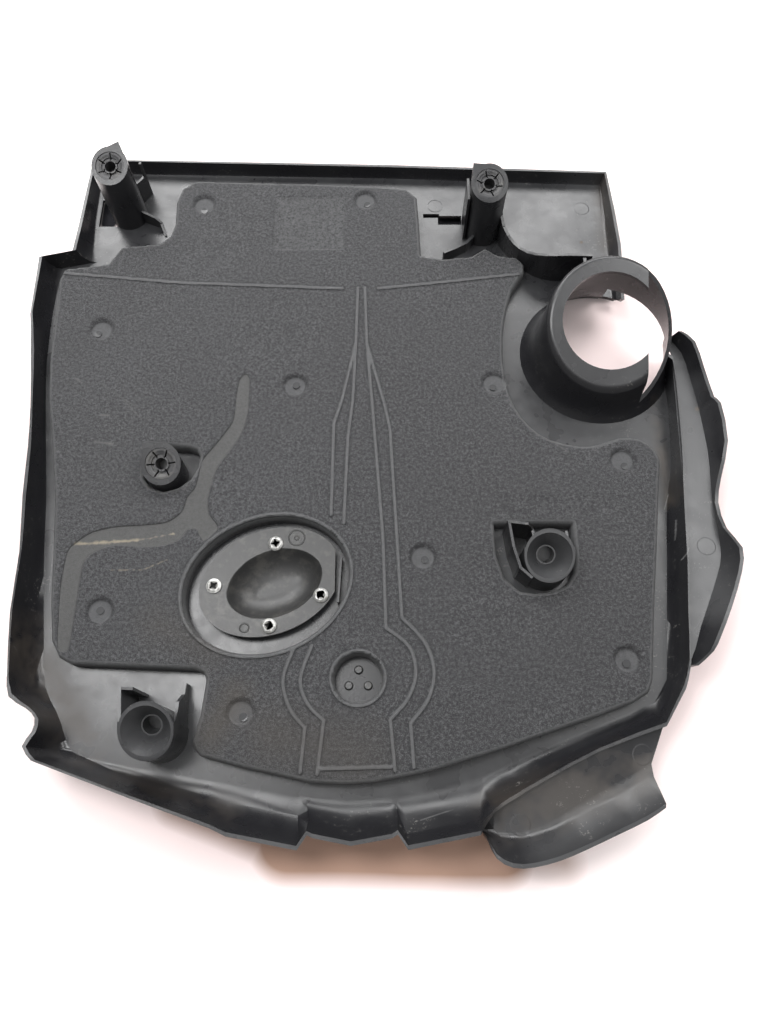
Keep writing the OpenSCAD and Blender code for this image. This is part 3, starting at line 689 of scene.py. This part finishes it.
    def ring(
        self, graph: Graph, away: bpy.types.NodeSocket, rise: Point, fall: Point
    ) -> bpy.types.NodeSocket:
        """Mask a band on one side of a border.

        Args:
            graph: The material's graph.
            away: Distance from the border.
            rise: Distances where the band begins and is full.
            fall: Distances where it has ended and is still full.

        Returns:
            The mask's socket.
        """
        return graph.maths("MULTIPLY", graph.span(away, *rise), graph.span(away, *fall))

    def read(self, graph: Graph, name: str) -> bpy.types.NodeSocket:
        """Read one of the distances that the mat's mesh carries.

        Args:
            graph: The material's graph.
            name: The attribute's name.

        Returns:
            The distance's socket, in millimetres.
        """
        node = graph.add(Kind.ATTRIBUTE)
        node.attribute_name = name
        return node.outputs["Fac"]


@dataclass(frozen=True)
class Moulded(Finish):
    """Dark moulded plastic or rubber of the small pieces, with dust in its clouds."""

    colour: Colour
    dust: Colour = (0.1, 0.095, 0.085)
    dusting: float = 0.2
    rough: float = 0.4
    # Metres that a grain and a ring stand up
    grain_depth: float = 0.00004
    ring_depth: float = 0.0003
    # Moulded rings, each with its middle and radius, and half the width of their lines
    rings: tuple[tuple[Point, float], ...] = ()
    ring_w: float = 0.35

    def shade(self, graph: Graph, coords: bpy.types.NodeSocket) -> bpy.types.Node:
        """Fill the material.

        Args:
            graph: The material's graph.
            coords: Object coordinates.

        Returns:
            The shader node.
        """
        fine = Effects.use(graph, Effects.grain(), "Value", Vector=coords, Scale=1600.0, Contrast=1.5)
        cloud = Effects.use(graph, Effects.grain(), "Value", Vector=coords, Scale=120.0, Contrast=2.0)
        colour = graph.mix(graph.span(cloud, 0.4, 0.9, (0.0, self.dusting)), self.colour, self.dust)
        normal = self.bump(graph, fine, self.grain_depth)
        for spot, reach in self.rings:
            disc = Stroke(spot, spot, reach + self.ring_w, 0.5).mask(graph, coords)
            core = Stroke(spot, spot, reach - self.ring_w, 0.5).mask(graph, coords)
            line = graph.maths("SUBTRACT", disc, core)
            ring = graph.add(Kind.BUMP, Strength=1.0, Distance=self.ring_depth, Height=line, Normal=normal)
            normal = ring.outputs["Normal"]
        return graph.add(
            Kind.PLASTIC,
            Base_Color=colour,
            Roughness=graph.span(fine, 0.1, 0.9, (self.rough - 0.06, self.rough + 0.1)),
            Normal=normal,
        )


@dataclass(frozen=True)
class Zinc(Finish):
    """Bright zinc of the screws, with a fine grain, grime in clouds, grime with painted shade in the middle
    of each head, and painted shade in the cross recess.
    """

    bright: Colour = (0.4, 0.4, 0.39)
    grime: Colour = (0.16, 0.145, 0.12)
    # Colour of the middle of each head: grime, with painted shade round the recess
    hollow_grime_and_shade: Colour = (0.09, 0.088, 0.082)
    hollow_r: float = 3.0
    # Colour of the painted shade in the cross recess
    recess: Colour = (0.008, 0.008, 0.008)
    # Heights where the painted shade in the cross begins and is full
    recess_z: Point = (18.3, 17.9)
    # Metres that a grain stands up
    grain_depth: float = 0.000008

    def shade(self, graph: Graph, coords: bpy.types.NodeSocket) -> bpy.types.Node:
        """Fill the material.

        Args:
            graph: The material's graph.
            coords: Object coordinates.

        Returns:
            The shader node.
        """
        cloud = Effects.use(graph, Effects.grain(), "Value", Vector=coords, Scale=500.0, Contrast=2.0)
        colour = graph.mix(graph.span(cloud, 0.5, 0.95, (0.0, 0.6)), self.bright, self.grime)
        hollows = [Stroke(spot, spot, self.hollow_r, 0.9) for spot in self.heads()]
        hollow_grime_and_shade = self.strokes(graph, coords, hollows)
        height = graph.add(Kind.SPLIT, Vector=coords).outputs["Z"]
        # Painted shade in the cross recess, below the head's top
        recess_shade = graph.span(height, self.recess_z[0] * MM, self.recess_z[1] * MM)
        # Grime and painted shade in the middle of each head
        colour = graph.mix(graph.maths("MULTIPLY", hollow_grime_and_shade, 0.85), colour, self.hollow_grime_and_shade)
        colour = graph.mix(graph.maths("MULTIPLY", hollow_grime_and_shade, recess_shade), colour, self.recess)
        rough = graph.span(cloud, 0.2, 0.8, (0.34, 0.48))
        return graph.add(
            Kind.PLASTIC,
            Base_Color=colour,
            Metallic=graph.maths("SUBTRACT", 1.0, graph.maths("MULTIPLY", hollow_grime_and_shade, 0.5)),
            Roughness=graph.maths("ADD", rough, graph.maths("MULTIPLY", hollow_grime_and_shade, 0.2)),
            Normal=self.bump(graph, cloud, self.grain_depth),
        )

    def heads(self) -> list[Point]:
        """Find the middle of each screw's head.

        Returns:
            Places in the outlines' millimetres.
        """
        spots = []
        for screw in SCREWS:
            low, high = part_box(f"badge_screw_{screw}")
            middle = (low + high) / 2 / MM
            spots.append((middle.x - MIDDLE[0], middle.y - MIDDLE[1]))
        return spots


@dataclass(frozen=True)
class TableTop(Finish):
    """White table that shows white to the camera, with painted warm shade round the part and under its front
    edge, and painted shade beneath its slots.
    """

    white: Colour = (0.9, 0.88, 0.87)
    shaded: Colour = (0.84, 0.7, 0.69)
    # Colour of the painted shadow under the front edge
    warm: Colour = (0.4, 0.26, 0.2)
    # Colour of the painted shade beneath the slots
    dark: Colour = (0.012, 0.012, 0.014)
    shine: Colour = (1.0, 0.975, 0.97)
    # Metres from the middle where the shaded colour turns white and the shine grows
    fade: Point = (0.26, 0.38)
    shine_fade: Point = (0.24, 0.42)
    # Strength of the shine beneath the part and far from it
    near: float = 0.05
    far: float = 0.5

    shadow: tuple[Stroke, ...] = (
        Stroke((-190, -202), (-97, -241), 4, 12, 1, 0.6, 12),
        Stroke((-130, -226), (-60, -252), 13, 12, 2, 0.9, 12),
        Stroke((-60, -250), (70, -252), 22, 10, 2, 1.0, 12),
        Stroke((70, -256), (108, -262), 8, 14, 2, 0.6, 12),
    )
    # Painted shade on the table, seen through the slots beside the rear posts
    slot_shade: tuple[Stroke, ...] = (
        Stroke((-230, 222), (-230, 240), 9, 7),
        Stroke((32, 226), (62, 222), 9, 5),
    )

    def shade(self, graph: Graph, coords: bpy.types.NodeSocket) -> bpy.types.Node:
        """Fill the material.

        Args:
            graph: The material's graph.
            coords: Object coordinates.

        Returns:
            The shader node.
        """
        path = graph.add(Kind.PATH)
        bounced = graph.maths("MAXIMUM", path.outputs["Is Glossy Ray"], path.outputs["Is Transmission Ray"])
        seen = graph.maths("MAXIMUM", path.outputs["Is Camera Ray"], bounced)
        out = graph.vectors("LENGTH", coords, out="Value")
        shadow = self.strokes(graph, coords, self.shadow)
        slot_shade = self.strokes(graph, coords, self.slot_shade)
        colour = graph.mix(graph.span(out, *self.fade), self.shaded, self.white)
        colour = graph.mix(shadow, colour, self.warm)
        # Painted shade beneath the slots
        colour = graph.mix(slot_shade, colour, self.dark)
        covered = graph.maths("MAXIMUM", shadow, slot_shade)
        light = graph.mix(covered, self.shine, (0.0, 0.0, 0.0))
        glow = graph.span(out, *self.shine_fade, (self.near, self.far))
        return graph.add(
            Kind.PLASTIC,
            Base_Color=colour,
            Roughness=0.8,
            Specular_IOR_Level=0.05,
            Emission_Color=light,
            Emission_Strength=graph.maths("MULTIPLY", seen, glow),
        )


SHELL = ShellPlastic("shell_plastic")
FOAM = FoamSkin("foam_skin")
BUSH = Moulded("bush_rubber", colour=(0.03, 0.03, 0.032), dusting=0.35, rough=0.5)
CARRIER = Moulded(
    "carrier_plastic",
    colour=(0.022, 0.022, 0.022),
    dusting=0.3,
    rough=0.38,
    rings=(((-93.2, -121.1), 2.9), ((-61.3, -59.0), 5.4), ((-61.3, -59.0), 1.4)),
)
BADGE = Moulded("badge_plastic", colour=(0.03, 0.03, 0.03), dusting=0.3, rough=0.22)
ZINC = Zinc("zinc_steel")
TABLE = TableTop("table_top")


def deselect() -> None:
    """Leave edit mode if it is on, and deselect everything."""
    if bpy.context.mode != "OBJECT":
        bpy.ops.object.mode_set(mode="OBJECT")
    bpy.ops.object.select_all(action="DESELECT")


def pick(piece: bpy.types.Object) -> None:
    """Select one piece and make it active.

    Args:
        piece: The piece that the next operators act on.
    """
    deselect()
    piece.select_set(True)
    bpy.context.view_layer.objects.active = piece


def dress(piece: bpy.types.Object, finish: Finish) -> bpy.types.Object:
    """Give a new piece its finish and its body.

    Args:
        piece: The piece.
        finish: Its finish.

    Returns:
        The same piece.
    """
    piece.data.materials.clear()
    piece.data.materials.append(finish.material())
    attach(piece, "root")
    return piece


@dataclass
class Smoothed:
    """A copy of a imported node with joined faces, rounded edges and smooth curves."""

    node: str
    name: str
    slot: str
    finish: Finish
    # Degrees within which faces are one, past which an edge is rounded, and past which it stays sharp
    flat_angle: float = 0.5
    edge_angle: float = 42.0
    angle: float = 32.0
    # Width of the rounded edges
    edge: float = 0.3
    segments: int = 2

    def build(self) -> bpy.types.Object:
        """Make the copy and hide the plain node.

        Returns:
            The new piece.
        """
        source = bpy.data.objects[self.node]
        piece = bpy.data.objects.new(self.name, source.data.copy())
        bpy.context.scene.collection.objects.link(piece)
        self.join(piece)
        if self.edge > 0:
            self.round_edges(piece)
        pick(piece)
        bpy.ops.object.shade_smooth_by_angle(angle=math.radians(self.angle))
        even = piece.modifiers.new("even_shading", "WEIGHTED_NORMAL")
        even.keep_sharp = True
        bpy.ops.object.modifier_apply(modifier=even.name)
        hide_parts(self.node)
        return dress(piece, self.finish)

    def join(self, piece: bpy.types.Object) -> None:
        """Join the loose triangles and melt those that lie in one plane.

        Args:
            piece: The copy.
        """
        pick(piece)
        bpy.ops.object.mode_set(mode="EDIT")
        bpy.ops.mesh.select_all(action="SELECT")
        bpy.ops.mesh.remove_doubles(threshold=JOIN)
        bpy.ops.mesh.dissolve_limited(angle_limit=math.radians(self.flat_angle))
        bpy.ops.object.mode_set(mode="OBJECT")

    def round_edges(self, piece: bpy.types.Object) -> None:
        """Round the sharp edges a little, so that they catch the light.

        Args:
            piece: The copy.
        """
        pick(piece)
        bevel = piece.modifiers.new("edges", "BEVEL")
        bevel.width = self.edge * MM
        bevel.segments = self.segments
        bevel.limit_method = "ANGLE"
        bevel.angle_limit = math.radians(self.edge_angle)
        bpy.ops.object.modifier_apply(modifier=bevel.name)


def curve(points: Sequence[Point], steps: int) -> list[Point]:
    """Run a smooth curve through points.

    Args:
        points: The points.
        steps: Steps between two points.

    Returns:
        The curve's points.
    """
    rows = np.array(points, float)
    last = len(rows) - 1
    run = []
    for i in range(last):
        a, b, c, d = rows[max(i - 1, 0)], rows[i], rows[i + 1], rows[min(i + 2, last)]
        for k in range(steps):
            s = k / steps
            straight = 2 * b + (c - a) * s
            bent = (2 * a - 5 * b + 4 * c - d) * s**2 + (3 * b - a - 3 * c + d) * s**3
            run.append(tuple(0.5 * (straight + bent)))
    return run + [tuple(rows[last])]


def step(values: np.ndarray, low: float, high: float) -> np.ndarray:
    """Smooth step from 0 to 1.

    Args:
        values: What to map.
        low: Where the step begins.
        high: Where it ends.

    Returns:
        The stepped values.
    """
    s = np.clip((values - low) / (high - low), 0.0, 1.0)
    return s * s * (3 - 2 * s)


def distance(spots: np.ndarray, path: Sequence[Point]) -> np.ndarray:
    """Distance of spots from a path.

    Args:
        spots: Rows of x and y.
        path: The path's points.

    Returns:
        One distance per spot.
    """
    best = np.full(len(spots), 1e9)
    for a, b in zip(path[:-1], path[1:]):
        a, run = np.array(a, float), np.array(b, float) - np.array(a, float)
        reach = spots - a
        share = np.clip(reach @ run / max(run @ run, 1e-12), 0, 1)
        best = np.minimum(best, np.linalg.norm(reach - share[:, None] * run, axis=1))
    return best


@dataclass
class FoamMat:
    """The foam mat: a moulded slab with ridges, a smooth channel, dimples, a recess and soft edges."""

    pitch: float = 1.35
    quick_pitch: float = 2.6
    thick: float = 12.0
    edge_round: float = 2.6
    ridge_h: float = 0.9
    ridge_w: float = 2.4
    # Where a ridge's side begins and ends, as shares of its width
    ridge_side: Point = (0.3, 0.65)
    # From the edge of the oval hole and of the round hole to the ridge round it
    oval_lip: float = 2.2
    badge_lip: float = 1.8
    channel_depth: float = 0.9
    recess_depth: float = 0.6
    band_depth: float = 0.4
    # Half the width of their sloping borders
    border_w: float = 0.8
    dimple_r: float = 7.6
    dimple_depth: float = 2.6
    dimple_slope: Point = (-2.4, 0.6)
    # Height of the foam's slow waves, and the runs of the four waves that they are mixed from
    wave_h: float = 0.35
    waves: tuple[float, float, float, float] = (31, 47, 37, 53)
    # The walls and the underside count as this far from every ridge and border
    far: float = 6.0
    # Loops shorter than this are the pins' holes and stay closed
    short_loop: float = 30.0
    # Metres from the underside's height within which a face is part of it
    level: float = 1e-5
    # Degrees past which an edge stays sharp
    angle: float = 60.0
    oval: Point = (-79.9, -92)
    oval_r: Point = (55.6, 45)
    oval_turn: float = 22.0
    # Degrees between two points of its edge
    oval_step: int = 5
    badge: Point = (-18.5, -154.1)
    badge_r: float = 15.4
    dimples: tuple[Point, ...] = DIMPLES
    ridges: tuple[tuple[Point, ...], ...] = (
        ((-249, 155.5), (-159, 147), (-34, 141.5)),
        ((-6.5, 141.5), (49, 148.5), (102, 155)),
        ((-22, 142), (-22.9, 93), (-32.4, 45), (-37.8, 25.7), (-38.1, -44)),
        ((-22.9, 93), (-24.5, 45), (-27.6, 15), (-29.3, -50)),
        ((-16.6, 142), (-14.7, 92), (-10.7, 45), (-2.7, -60), (-0.7, -122)),
        ((-14.7, 92), (-2, 42.7), (2.3, 21.7), (9.7, -115.4)),
        ((-51, -184.7), (-53, -211)),
        ((-39.5, -180.5), (-42.7, -212)),
        ((2, -180.5), (4.7, -210)),
        ((14.5, -181.7), (16.3, -208)),
        ((-41, -208.9), (2.3, -207.8)),
    )
    bends: tuple[tuple[Point, ...], ...] = (
        ((-0.7, -122), (14, -134), (18.3, -151), (13, -167), (1.7, -180)),
        ((9.7, -115.4), (24, -131), (29.8, -149), (26, -167), (14.8, -181.7)),
        ((-59.9, -135), (-66, -155), (-61, -173), (-51, -184.7)),
        ((-48.4, -133.5), (-55, -154.7), (-50, -170), (-39.3, -180.5)),
    )
    channel: tuple[Point, ...] = (
        (-104, 67.5), (-107.5, 63), (-109, 53), (-109.5, 42), (-110, 29), (-115, 19.5), (-122.5, 8),
        (-129, -1), (-131, -9.5), (-133, -23), (-138, -30), (-140, -39.5), (-145.5, -46), (-153, -49.5),
        (-166.5, -51), (-182, -52), (-195, -54.5), (-202.5, -57.5), (-210.5, -64), (-215, -70.5),
        (-216, -90.5), (-215.5, -102.5), (-214, -118), (-212, -135.5), (-205.5, -137), (-204.5, -128),
        (-204, -107.5), (-203.5, -83), (-201.5, -75), (-195, -69.5), (-183.5, -65.5), (-165, -67),
        (-150, -65.5), (-140, -61), (-136, -54.5), (-129.5, -54), (-124.5, -62.5), (-115.5, -54.5),
        (-116.5, -49.5), (-122, -42.5), (-123.5, -31), (-121.5, -19.5), (-119.5, -9.5), (-112.5, 2.5),
        (-106, 13), (-102, 23.5), (-100, 36.5), (-100, 47.5), (-100.5, 63.5), (-104, 67.5),
    )
    recess: tuple[Point, Point] = ((-89.5, 178.5), (-33.5, 231.5))
    band: tuple[Point, Point] = ((76, -45), (166, -30))
    loops: list[np.ndarray] = field(default_factory=list)

    def build(self) -> bpy.types.Object:
        """Model the mat in the place of its plain solid.

        Returns:
            The mat.
        """
        self.loops = self.outlines()
        spots, faces = self.sheet()
        edge = self.edge_distance(spots)
        heights, away = self.relief(spots, edge)
        piece = self.slab(spots, faces, heights)
        for name, values in away.items():
            whole = np.full(len(piece.data.vertices), self.far, np.float32)
            whole[: len(values)] = values
            piece.data.attributes.new(name, "FLOAT", "POINT").data.foreach_set("value", whole)
        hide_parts("foam_mat")
        return dress(piece, FOAM)

    def outlines(self) -> list[np.ndarray]:
        """Read the outline and the holes from the underside of the plain solid.

        Returns:
            Closed loops of x and y in the outlines' millimetres.
        """
        mesh = bmesh.new()
        mesh.from_mesh(bpy.data.objects["foam_mat"].data)
        bmesh.ops.remove_doubles(mesh, verts=mesh.verts, dist=JOIN)
        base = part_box("foam_mat")[0].z
        down = {f for f in mesh.faces if f.normal.z < -0.99}
        under = {f for f in down if abs(f.calc_center_median().z - base) < self.level}
        rim = [e for e in mesh.edges if len([f for f in e.link_faces if f in under]) == 1]
        nexts: dict = {}
        for e in rim:
            for a, b in ((e.verts[0], e.verts[1]), (e.verts[1], e.verts[0])):
                nexts.setdefault(a, []).append(b)
        loops, seen = [], set()
        for start in nexts:
            if start in seen:
                continue
            loop, last, here = [], None, start
            while here not in seen:
                seen.add(here)
                loop.append((here.co.x / MM - MIDDLE[0], here.co.y / MM - MIDDLE[1]))
                ways = [v for v in nexts[here] if v is not last and v not in seen]
                if not ways:
                    break
                last, here = here, ways[0]
            loop.append(loop[0])
            rows = np.array(loop)
            if np.linalg.norm(np.diff(rows, axis=0), axis=1).sum() > self.short_loop:
                loops.append(rows)
        mesh.free()
        return loops

    def inside(self, spots: np.ndarray, loops: Sequence[np.ndarray]) -> np.ndarray:
        """Tell which spots lie within closed loops.

        Args:
            spots: Rows of x and y.
            loops: Closed loops; a loop within another is a hole.

        Returns:
            True for a spot within.
        """
        odd = np.zeros(len(spots), bool)
        for loop in loops:
            for (ax, ay), (bx, by) in zip(loop[:-1], loop[1:]):
                if ay == by:
                    continue
                crosses = (spots[:, 1] > min(ay, by)) & (spots[:, 1] <= max(ay, by))
                at = ax + (spots[:, 1] - ay) * (bx - ax) / (by - ay)
                odd ^= crosses & (spots[:, 0] < at)
        return odd

    def edge_distance(self, spots: np.ndarray) -> np.ndarray:
        """Distance of spots from the nearest edge or hole.

        Args:
            spots: Rows of x and y.

        Returns:
            One distance per spot.
        """
        return np.min([distance(spots, [tuple(p) for p in loop]) for loop in self.loops], axis=0)

    def nearest(self, spots: np.ndarray) -> np.ndarray:
        """Move spots to the nearest point of the outline.

        Args:
            spots: Rows of x and y.

        Returns:
            The moved spots.
        """
        best = np.full(len(spots), 1e9)
        moved = spots.copy()
        for loop in self.loops:
            for a, b in zip(loop[:-1], loop[1:]):
                run = b - a
                share = np.clip((spots - a) @ run / max(run @ run, 1e-12), 0, 1)
                foot = a + share[:, None] * run
                away = np.linalg.norm(spots - foot, axis=1)
                closer = away < best
                best[closer] = away[closer]
                moved[closer] = foot[closer]
        return moved

    def sheet(self) -> tuple[np.ndarray, np.ndarray]:
        """Lay a fine net over the mat, with its border on the outline.

        Returns:
            The net's spots, and its faces as rows of four spot numbers.
        """
        rows = np.concatenate(self.loops)
        low, high = rows.min(0) - self.pitch, rows.max(0) + self.pitch
        xs = np.arange(low[0], high[0], self.pitch)
        ys = np.arange(low[1], high[1], self.pitch)
        wide = len(xs)
        spots = np.stack(np.meshgrid(xs, ys), axis=-1).reshape(-1, 2)
        i, j = np.meshgrid(np.arange(wide - 1), np.arange(len(ys) - 1))
        first = (j * wide + i).ravel()
        faces = np.stack([first, first + 1, first + wide + 1, first + wide], axis=1)
        centres = spots[faces].mean(axis=1)
        faces = faces[self.inside(centres, self.loops)]
        used, numbers = np.unique(faces, return_inverse=True)
        spots, faces = spots[used], numbers.reshape(-1, 4)
        border = np.unique(self.border(faces))
        spots[border] = self.nearest(spots[border])
        return spots, faces

    def border(self, faces: np.ndarray) -> np.ndarray:
        """Find the edges that have one face.

        Args:
            faces: Rows of four spot numbers.

        Returns:
            Rows of two spot numbers, in the faces' order.
        """
        edges = np.concatenate([faces[:, [k, (k + 1) % 4]] for k in range(4)])
        keys = np.sort(edges, axis=1)
        _, first, counts = np.unique(keys, axis=0, return_index=True, return_counts=True)
        return edges[first[counts == 1]]

    def relief(self, spots: np.ndarray, edge: np.ndarray) -> tuple[np.ndarray, dict[str, np.ndarray]]:
        """Work out the mat's surface.

        Args:
            spots: Rows of x and y.
            edge: Each spot's distance from the edge.

        Returns:
            Heights in millimetres, and each spot's distance from the ridges, the edge, the channel, the
            dimples and the recess, below zero within the last three.
        """
        x, y = spots[:, 0], spots[:, 1]
        heights = np.full(len(spots), FLOOR_Z + self.thick)
        first, second, third, fourth = self.waves
        across = np.sin(x / first + 1.3 * np.sin(y / second))
        heights += self.wave_h * across * np.sin(y / third + np.sin(x / fourth))
        lines = list(self.ridges) + [curve(bend, steps=6) for bend in self.bends]
        ridge = np.min([distance(spots, line) for line in lines], axis=0)
        ridge = np.minimum(ridge, np.abs(self.oval_distance(spots) - self.oval_lip))
        badge = np.hypot(x - self.badge[0], y - self.badge[1]) - self.badge_r
        ridge = np.minimum(ridge, np.abs(badge - self.badge_lip))
        top, bottom = (share * self.ridge_w for share in self.ridge_side)
        heights += self.ridge_h * (1 - step(ridge, top, bottom))
        course = np.array(curve(self.channel, steps=2))
        bed = distance(spots, [tuple(point) for point in course])
        bed = np.where(self.inside(spots, [course]), -bed, bed)
        soft = self.border_w
        heights -= self.channel_depth * step(-bed, -soft, soft)
        dimple = np.min([np.hypot(x - a, y - b) for a, b in self.dimples], axis=0) - self.dimple_r
        heights -= self.dimple_depth * step(-dimple, *self.dimple_slope)
        recess = self.outside(spots, self.recess)
        heights -= self.recess_depth * step(-recess, -soft, soft)
        heights -= self.band_depth * step(-self.outside(spots, self.band), -soft, soft)
        inset = np.clip(self.edge_round - edge, 0, self.edge_round)
        heights -= self.edge_round - np.sqrt(self.edge_round**2 - inset**2)
        away = {"ridge": ridge, "edge": edge, "bed": bed, "dimple": dimple, "recess": recess}
        return heights, away

    def outside(self, spots: np.ndarray, corners: tuple[Point, Point]) -> np.ndarray:
        """Distance of spots from a rectangle's sides.

        Args:
            spots: Rows of x and y.
            corners: The rectangle's front left and rear right corners.

        Returns:
            One distance per spot, below zero within the rectangle.
        """
        low, high = np.array(corners, float)
        return -np.minimum(spots - low, high - spots).min(axis=1)

    def oval_distance(self, spots: np.ndarray) -> np.ndarray:
        """Distance of spots from the edge of the oval hole.

        Args:
            spots: Rows of x and y.

        Returns:
            One distance per spot.
        """
        turn = math.radians(self.oval_turn)
        along = np.array([math.cos(turn), math.sin(turn)])
        across = np.array([-along[1], along[0]])
        around = np.radians(np.arange(0, 361, self.oval_step))[:, None]
        long_r, short_r = self.oval_r
        path = np.array(self.oval) + long_r * np.cos(around) * along + short_r * np.sin(around) * across
        return distance(spots, [tuple(point) for point in path])

    def slab(self, spots: np.ndarray, faces: np.ndarray, heights: np.ndarray) -> bpy.types.Object:
        """Build the closed slab: the net above, a wall round every edge and a flat underside.

        Args:
            spots: Rows of x and y.
            faces: Rows of four spot numbers.
            heights: Heights in millimetres.

        Returns:
            The new piece.
        """
        rim = self.border(faces)
        ends = np.unique(rim)
        foot = dict(zip(ends.tolist(), range(len(spots), len(spots) + len(ends))))
        upper = [place(x, y, z) for (x, y), z in zip(spots, heights)]
        lower = [place(*spots[k], FLOOR_Z) for k in ends]
        walls = [(int(b), int(a), foot[int(a)], foot[int(b)]) for a, b in rim]
        mesh = bpy.data.meshes.new("foam_pad")
        mesh.from_pydata(upper + lower, [], [tuple(map(int, f)) for f in faces] + walls)
        piece = bpy.data.objects.new("foam_pad", mesh)
        bpy.context.scene.collection.objects.link(piece)
        work = bmesh.new()
        work.from_mesh(mesh)
        low = [e for e in work.edges if e.is_boundary]
        down = Vector((0, 0, -1))
        bmesh.ops.triangle_fill(work, use_beauty=True, use_dissolve=False, edges=low, normal=down)
        work.to_mesh(mesh)
        work.free()
        pick(piece)
        bpy.ops.object.shade_smooth_by_angle(angle=math.radians(self.angle))
        return piece


@dataclass
class Studio:
    """Table, lamps, world and camera."""

    # The camera's place in metres, its tilt in degrees and its lens in millimetres
    eye: tuple[float, float, float] = (0.01522, -0.23333, 0.520)
    tilt: float = 20.65
    lens: float = 27.42
    # The table's width, and its top just under the part, in metres
    table_w: float = 6.0
    table_z: float = -0.0002
    # What the lamps face
    target: tuple[float, float, float] = (0, 0, 0.02)
    # Colour of the room's light, and its strength for the part and for the camera
    air: Colour = (1.0, 0.99, 0.975)
    air_light: Point = (0.4, 1.0)

    def build(self) -> None:
        """Set the scene round the part."""
        self.table()
        self.world()
        self.lamp("rear_window", (-0.6, 1.13, 1.0), (0.9, 0.6), 17.0)
        self.lamp("rear_door", (0.28, 1.1, 1.0), (0.8, 0.5), 10.5)
        self.lamp("left_window", (-0.44, 0.08, 1.05), (0.36, 0.46), 6.5)
        self.lamp("right_window", (0.7, 0.25, 1.05), (0.5, 0.7), 7.0)
        self.lamp("room_lamp", (-0.18, 0.12, 1.2), (0.4, 0.35), 2.4)
        self.lamp("ceiling", (0.0, -0.7, 1.8), (1.4, 1.0), 8.0)
        self.camera()

    def table(self) -> None:
        """Lay a wide table top under the part."""
        deselect()
        bpy.ops.mesh.primitive_plane_add(size=self.table_w, location=(0, 0, self.table_z))
        top = bpy.context.object
        top.name = "table"
        bpy.ops.object.transform_apply(location=True, rotation=True, scale=True)
        top.data.materials.append(TABLE.material())

    def world(self) -> None:
        """Fill the room with a low even light that the camera sees as white."""
        world = bpy.data.worlds.new("room")
        bpy.context.scene.world = world
        world.use_nodes = True
        graph = Graph(world.node_tree)
        world.node_tree.nodes.clear()
        path = graph.add(Kind.PATH)
        back = world.node_tree.nodes.new("ShaderNodeBackground")
        output = world.node_tree.nodes.new("ShaderNodeOutputWorld")
        graph.feed(back, "Color", self.air)
        graph.feed(back, "Strength", graph.span(path.outputs["Is Camera Ray"], 0.0, 1.0, self.air_light))
        world.node_tree.links.new(back.outputs[0], output.inputs[0])

    def lamp(self, name: str, spot: Sequence[float], size: Point, power: float) -> None:
        """Hang a soft lamp that faces the part.

        Args:
            name: The lamp's name.
            spot: Its place in metres.
            size: Its width and height in metres.
            power: Its power in watts.
        """
        light = bpy.data.lights.new(name, "AREA")
        light.shape = "RECTANGLE"
        light.size, light.size_y = size
        light.energy = power
        lamp = bpy.data.objects.new(name, light)
        lamp.location = spot
        lamp.rotation_euler = (Vector(self.target) - Vector(spot)).to_track_quat("-Z", "Y").to_euler()
        bpy.context.scene.collection.objects.link(lamp)

    def camera(self) -> None:
        """Place the camera where the photograph was taken from."""
        data = bpy.data.cameras.new("camera")
        data.lens = self.lens
        data.sensor_width = 36.0
        data.clip_start = 0.01
        camera = bpy.data.objects.new("camera", data)
        camera.location = self.eye
        camera.rotation_euler = (math.radians(self.tilt), 0.0, 0.0)
        bpy.context.scene.collection.objects.link(camera)
        bpy.context.scene.camera = camera


def main() -> None:
    """Build the pieces in order, then the studio."""
    logging.basicConfig(level=logging.INFO, format="%(message)s")
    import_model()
    scene = bpy.context.scene
    scene.view_settings.view_transform = "Standard"
    pieces = [
        Smoothed("cover_shell", "moulded_shell", "shell", SHELL, edge=0.45),
        FoamMat(),
        Smoothed("ball_bush_rear_left", "bush_rear_left", "bush", BUSH),
        Smoothed("ball_bush_rear_right", "bush_rear_right", "bush", BUSH),
        Smoothed("ball_bush_side", "bush_side", "bush", BUSH),
        Smoothed("badge_carrier", "carrier_plate", "carrier", CARRIER),
        Smoothed("round_badge", "round_badge_back", "badge", BADGE, edge=0.2),
    ]
    pieces += [
        Smoothed(f"badge_screw_{side}", f"screw_{side}", "steel", ZINC, edge=0.12) for side in SCREWS
    ]
    for piece in pieces:
        made = piece.build()
        LOG.info("%s: %d faces", made.name, len(made.data.polygons))
    Studio().build()
    bpy.context.view_layer.update()


if __name__ == "__main__":
    main()
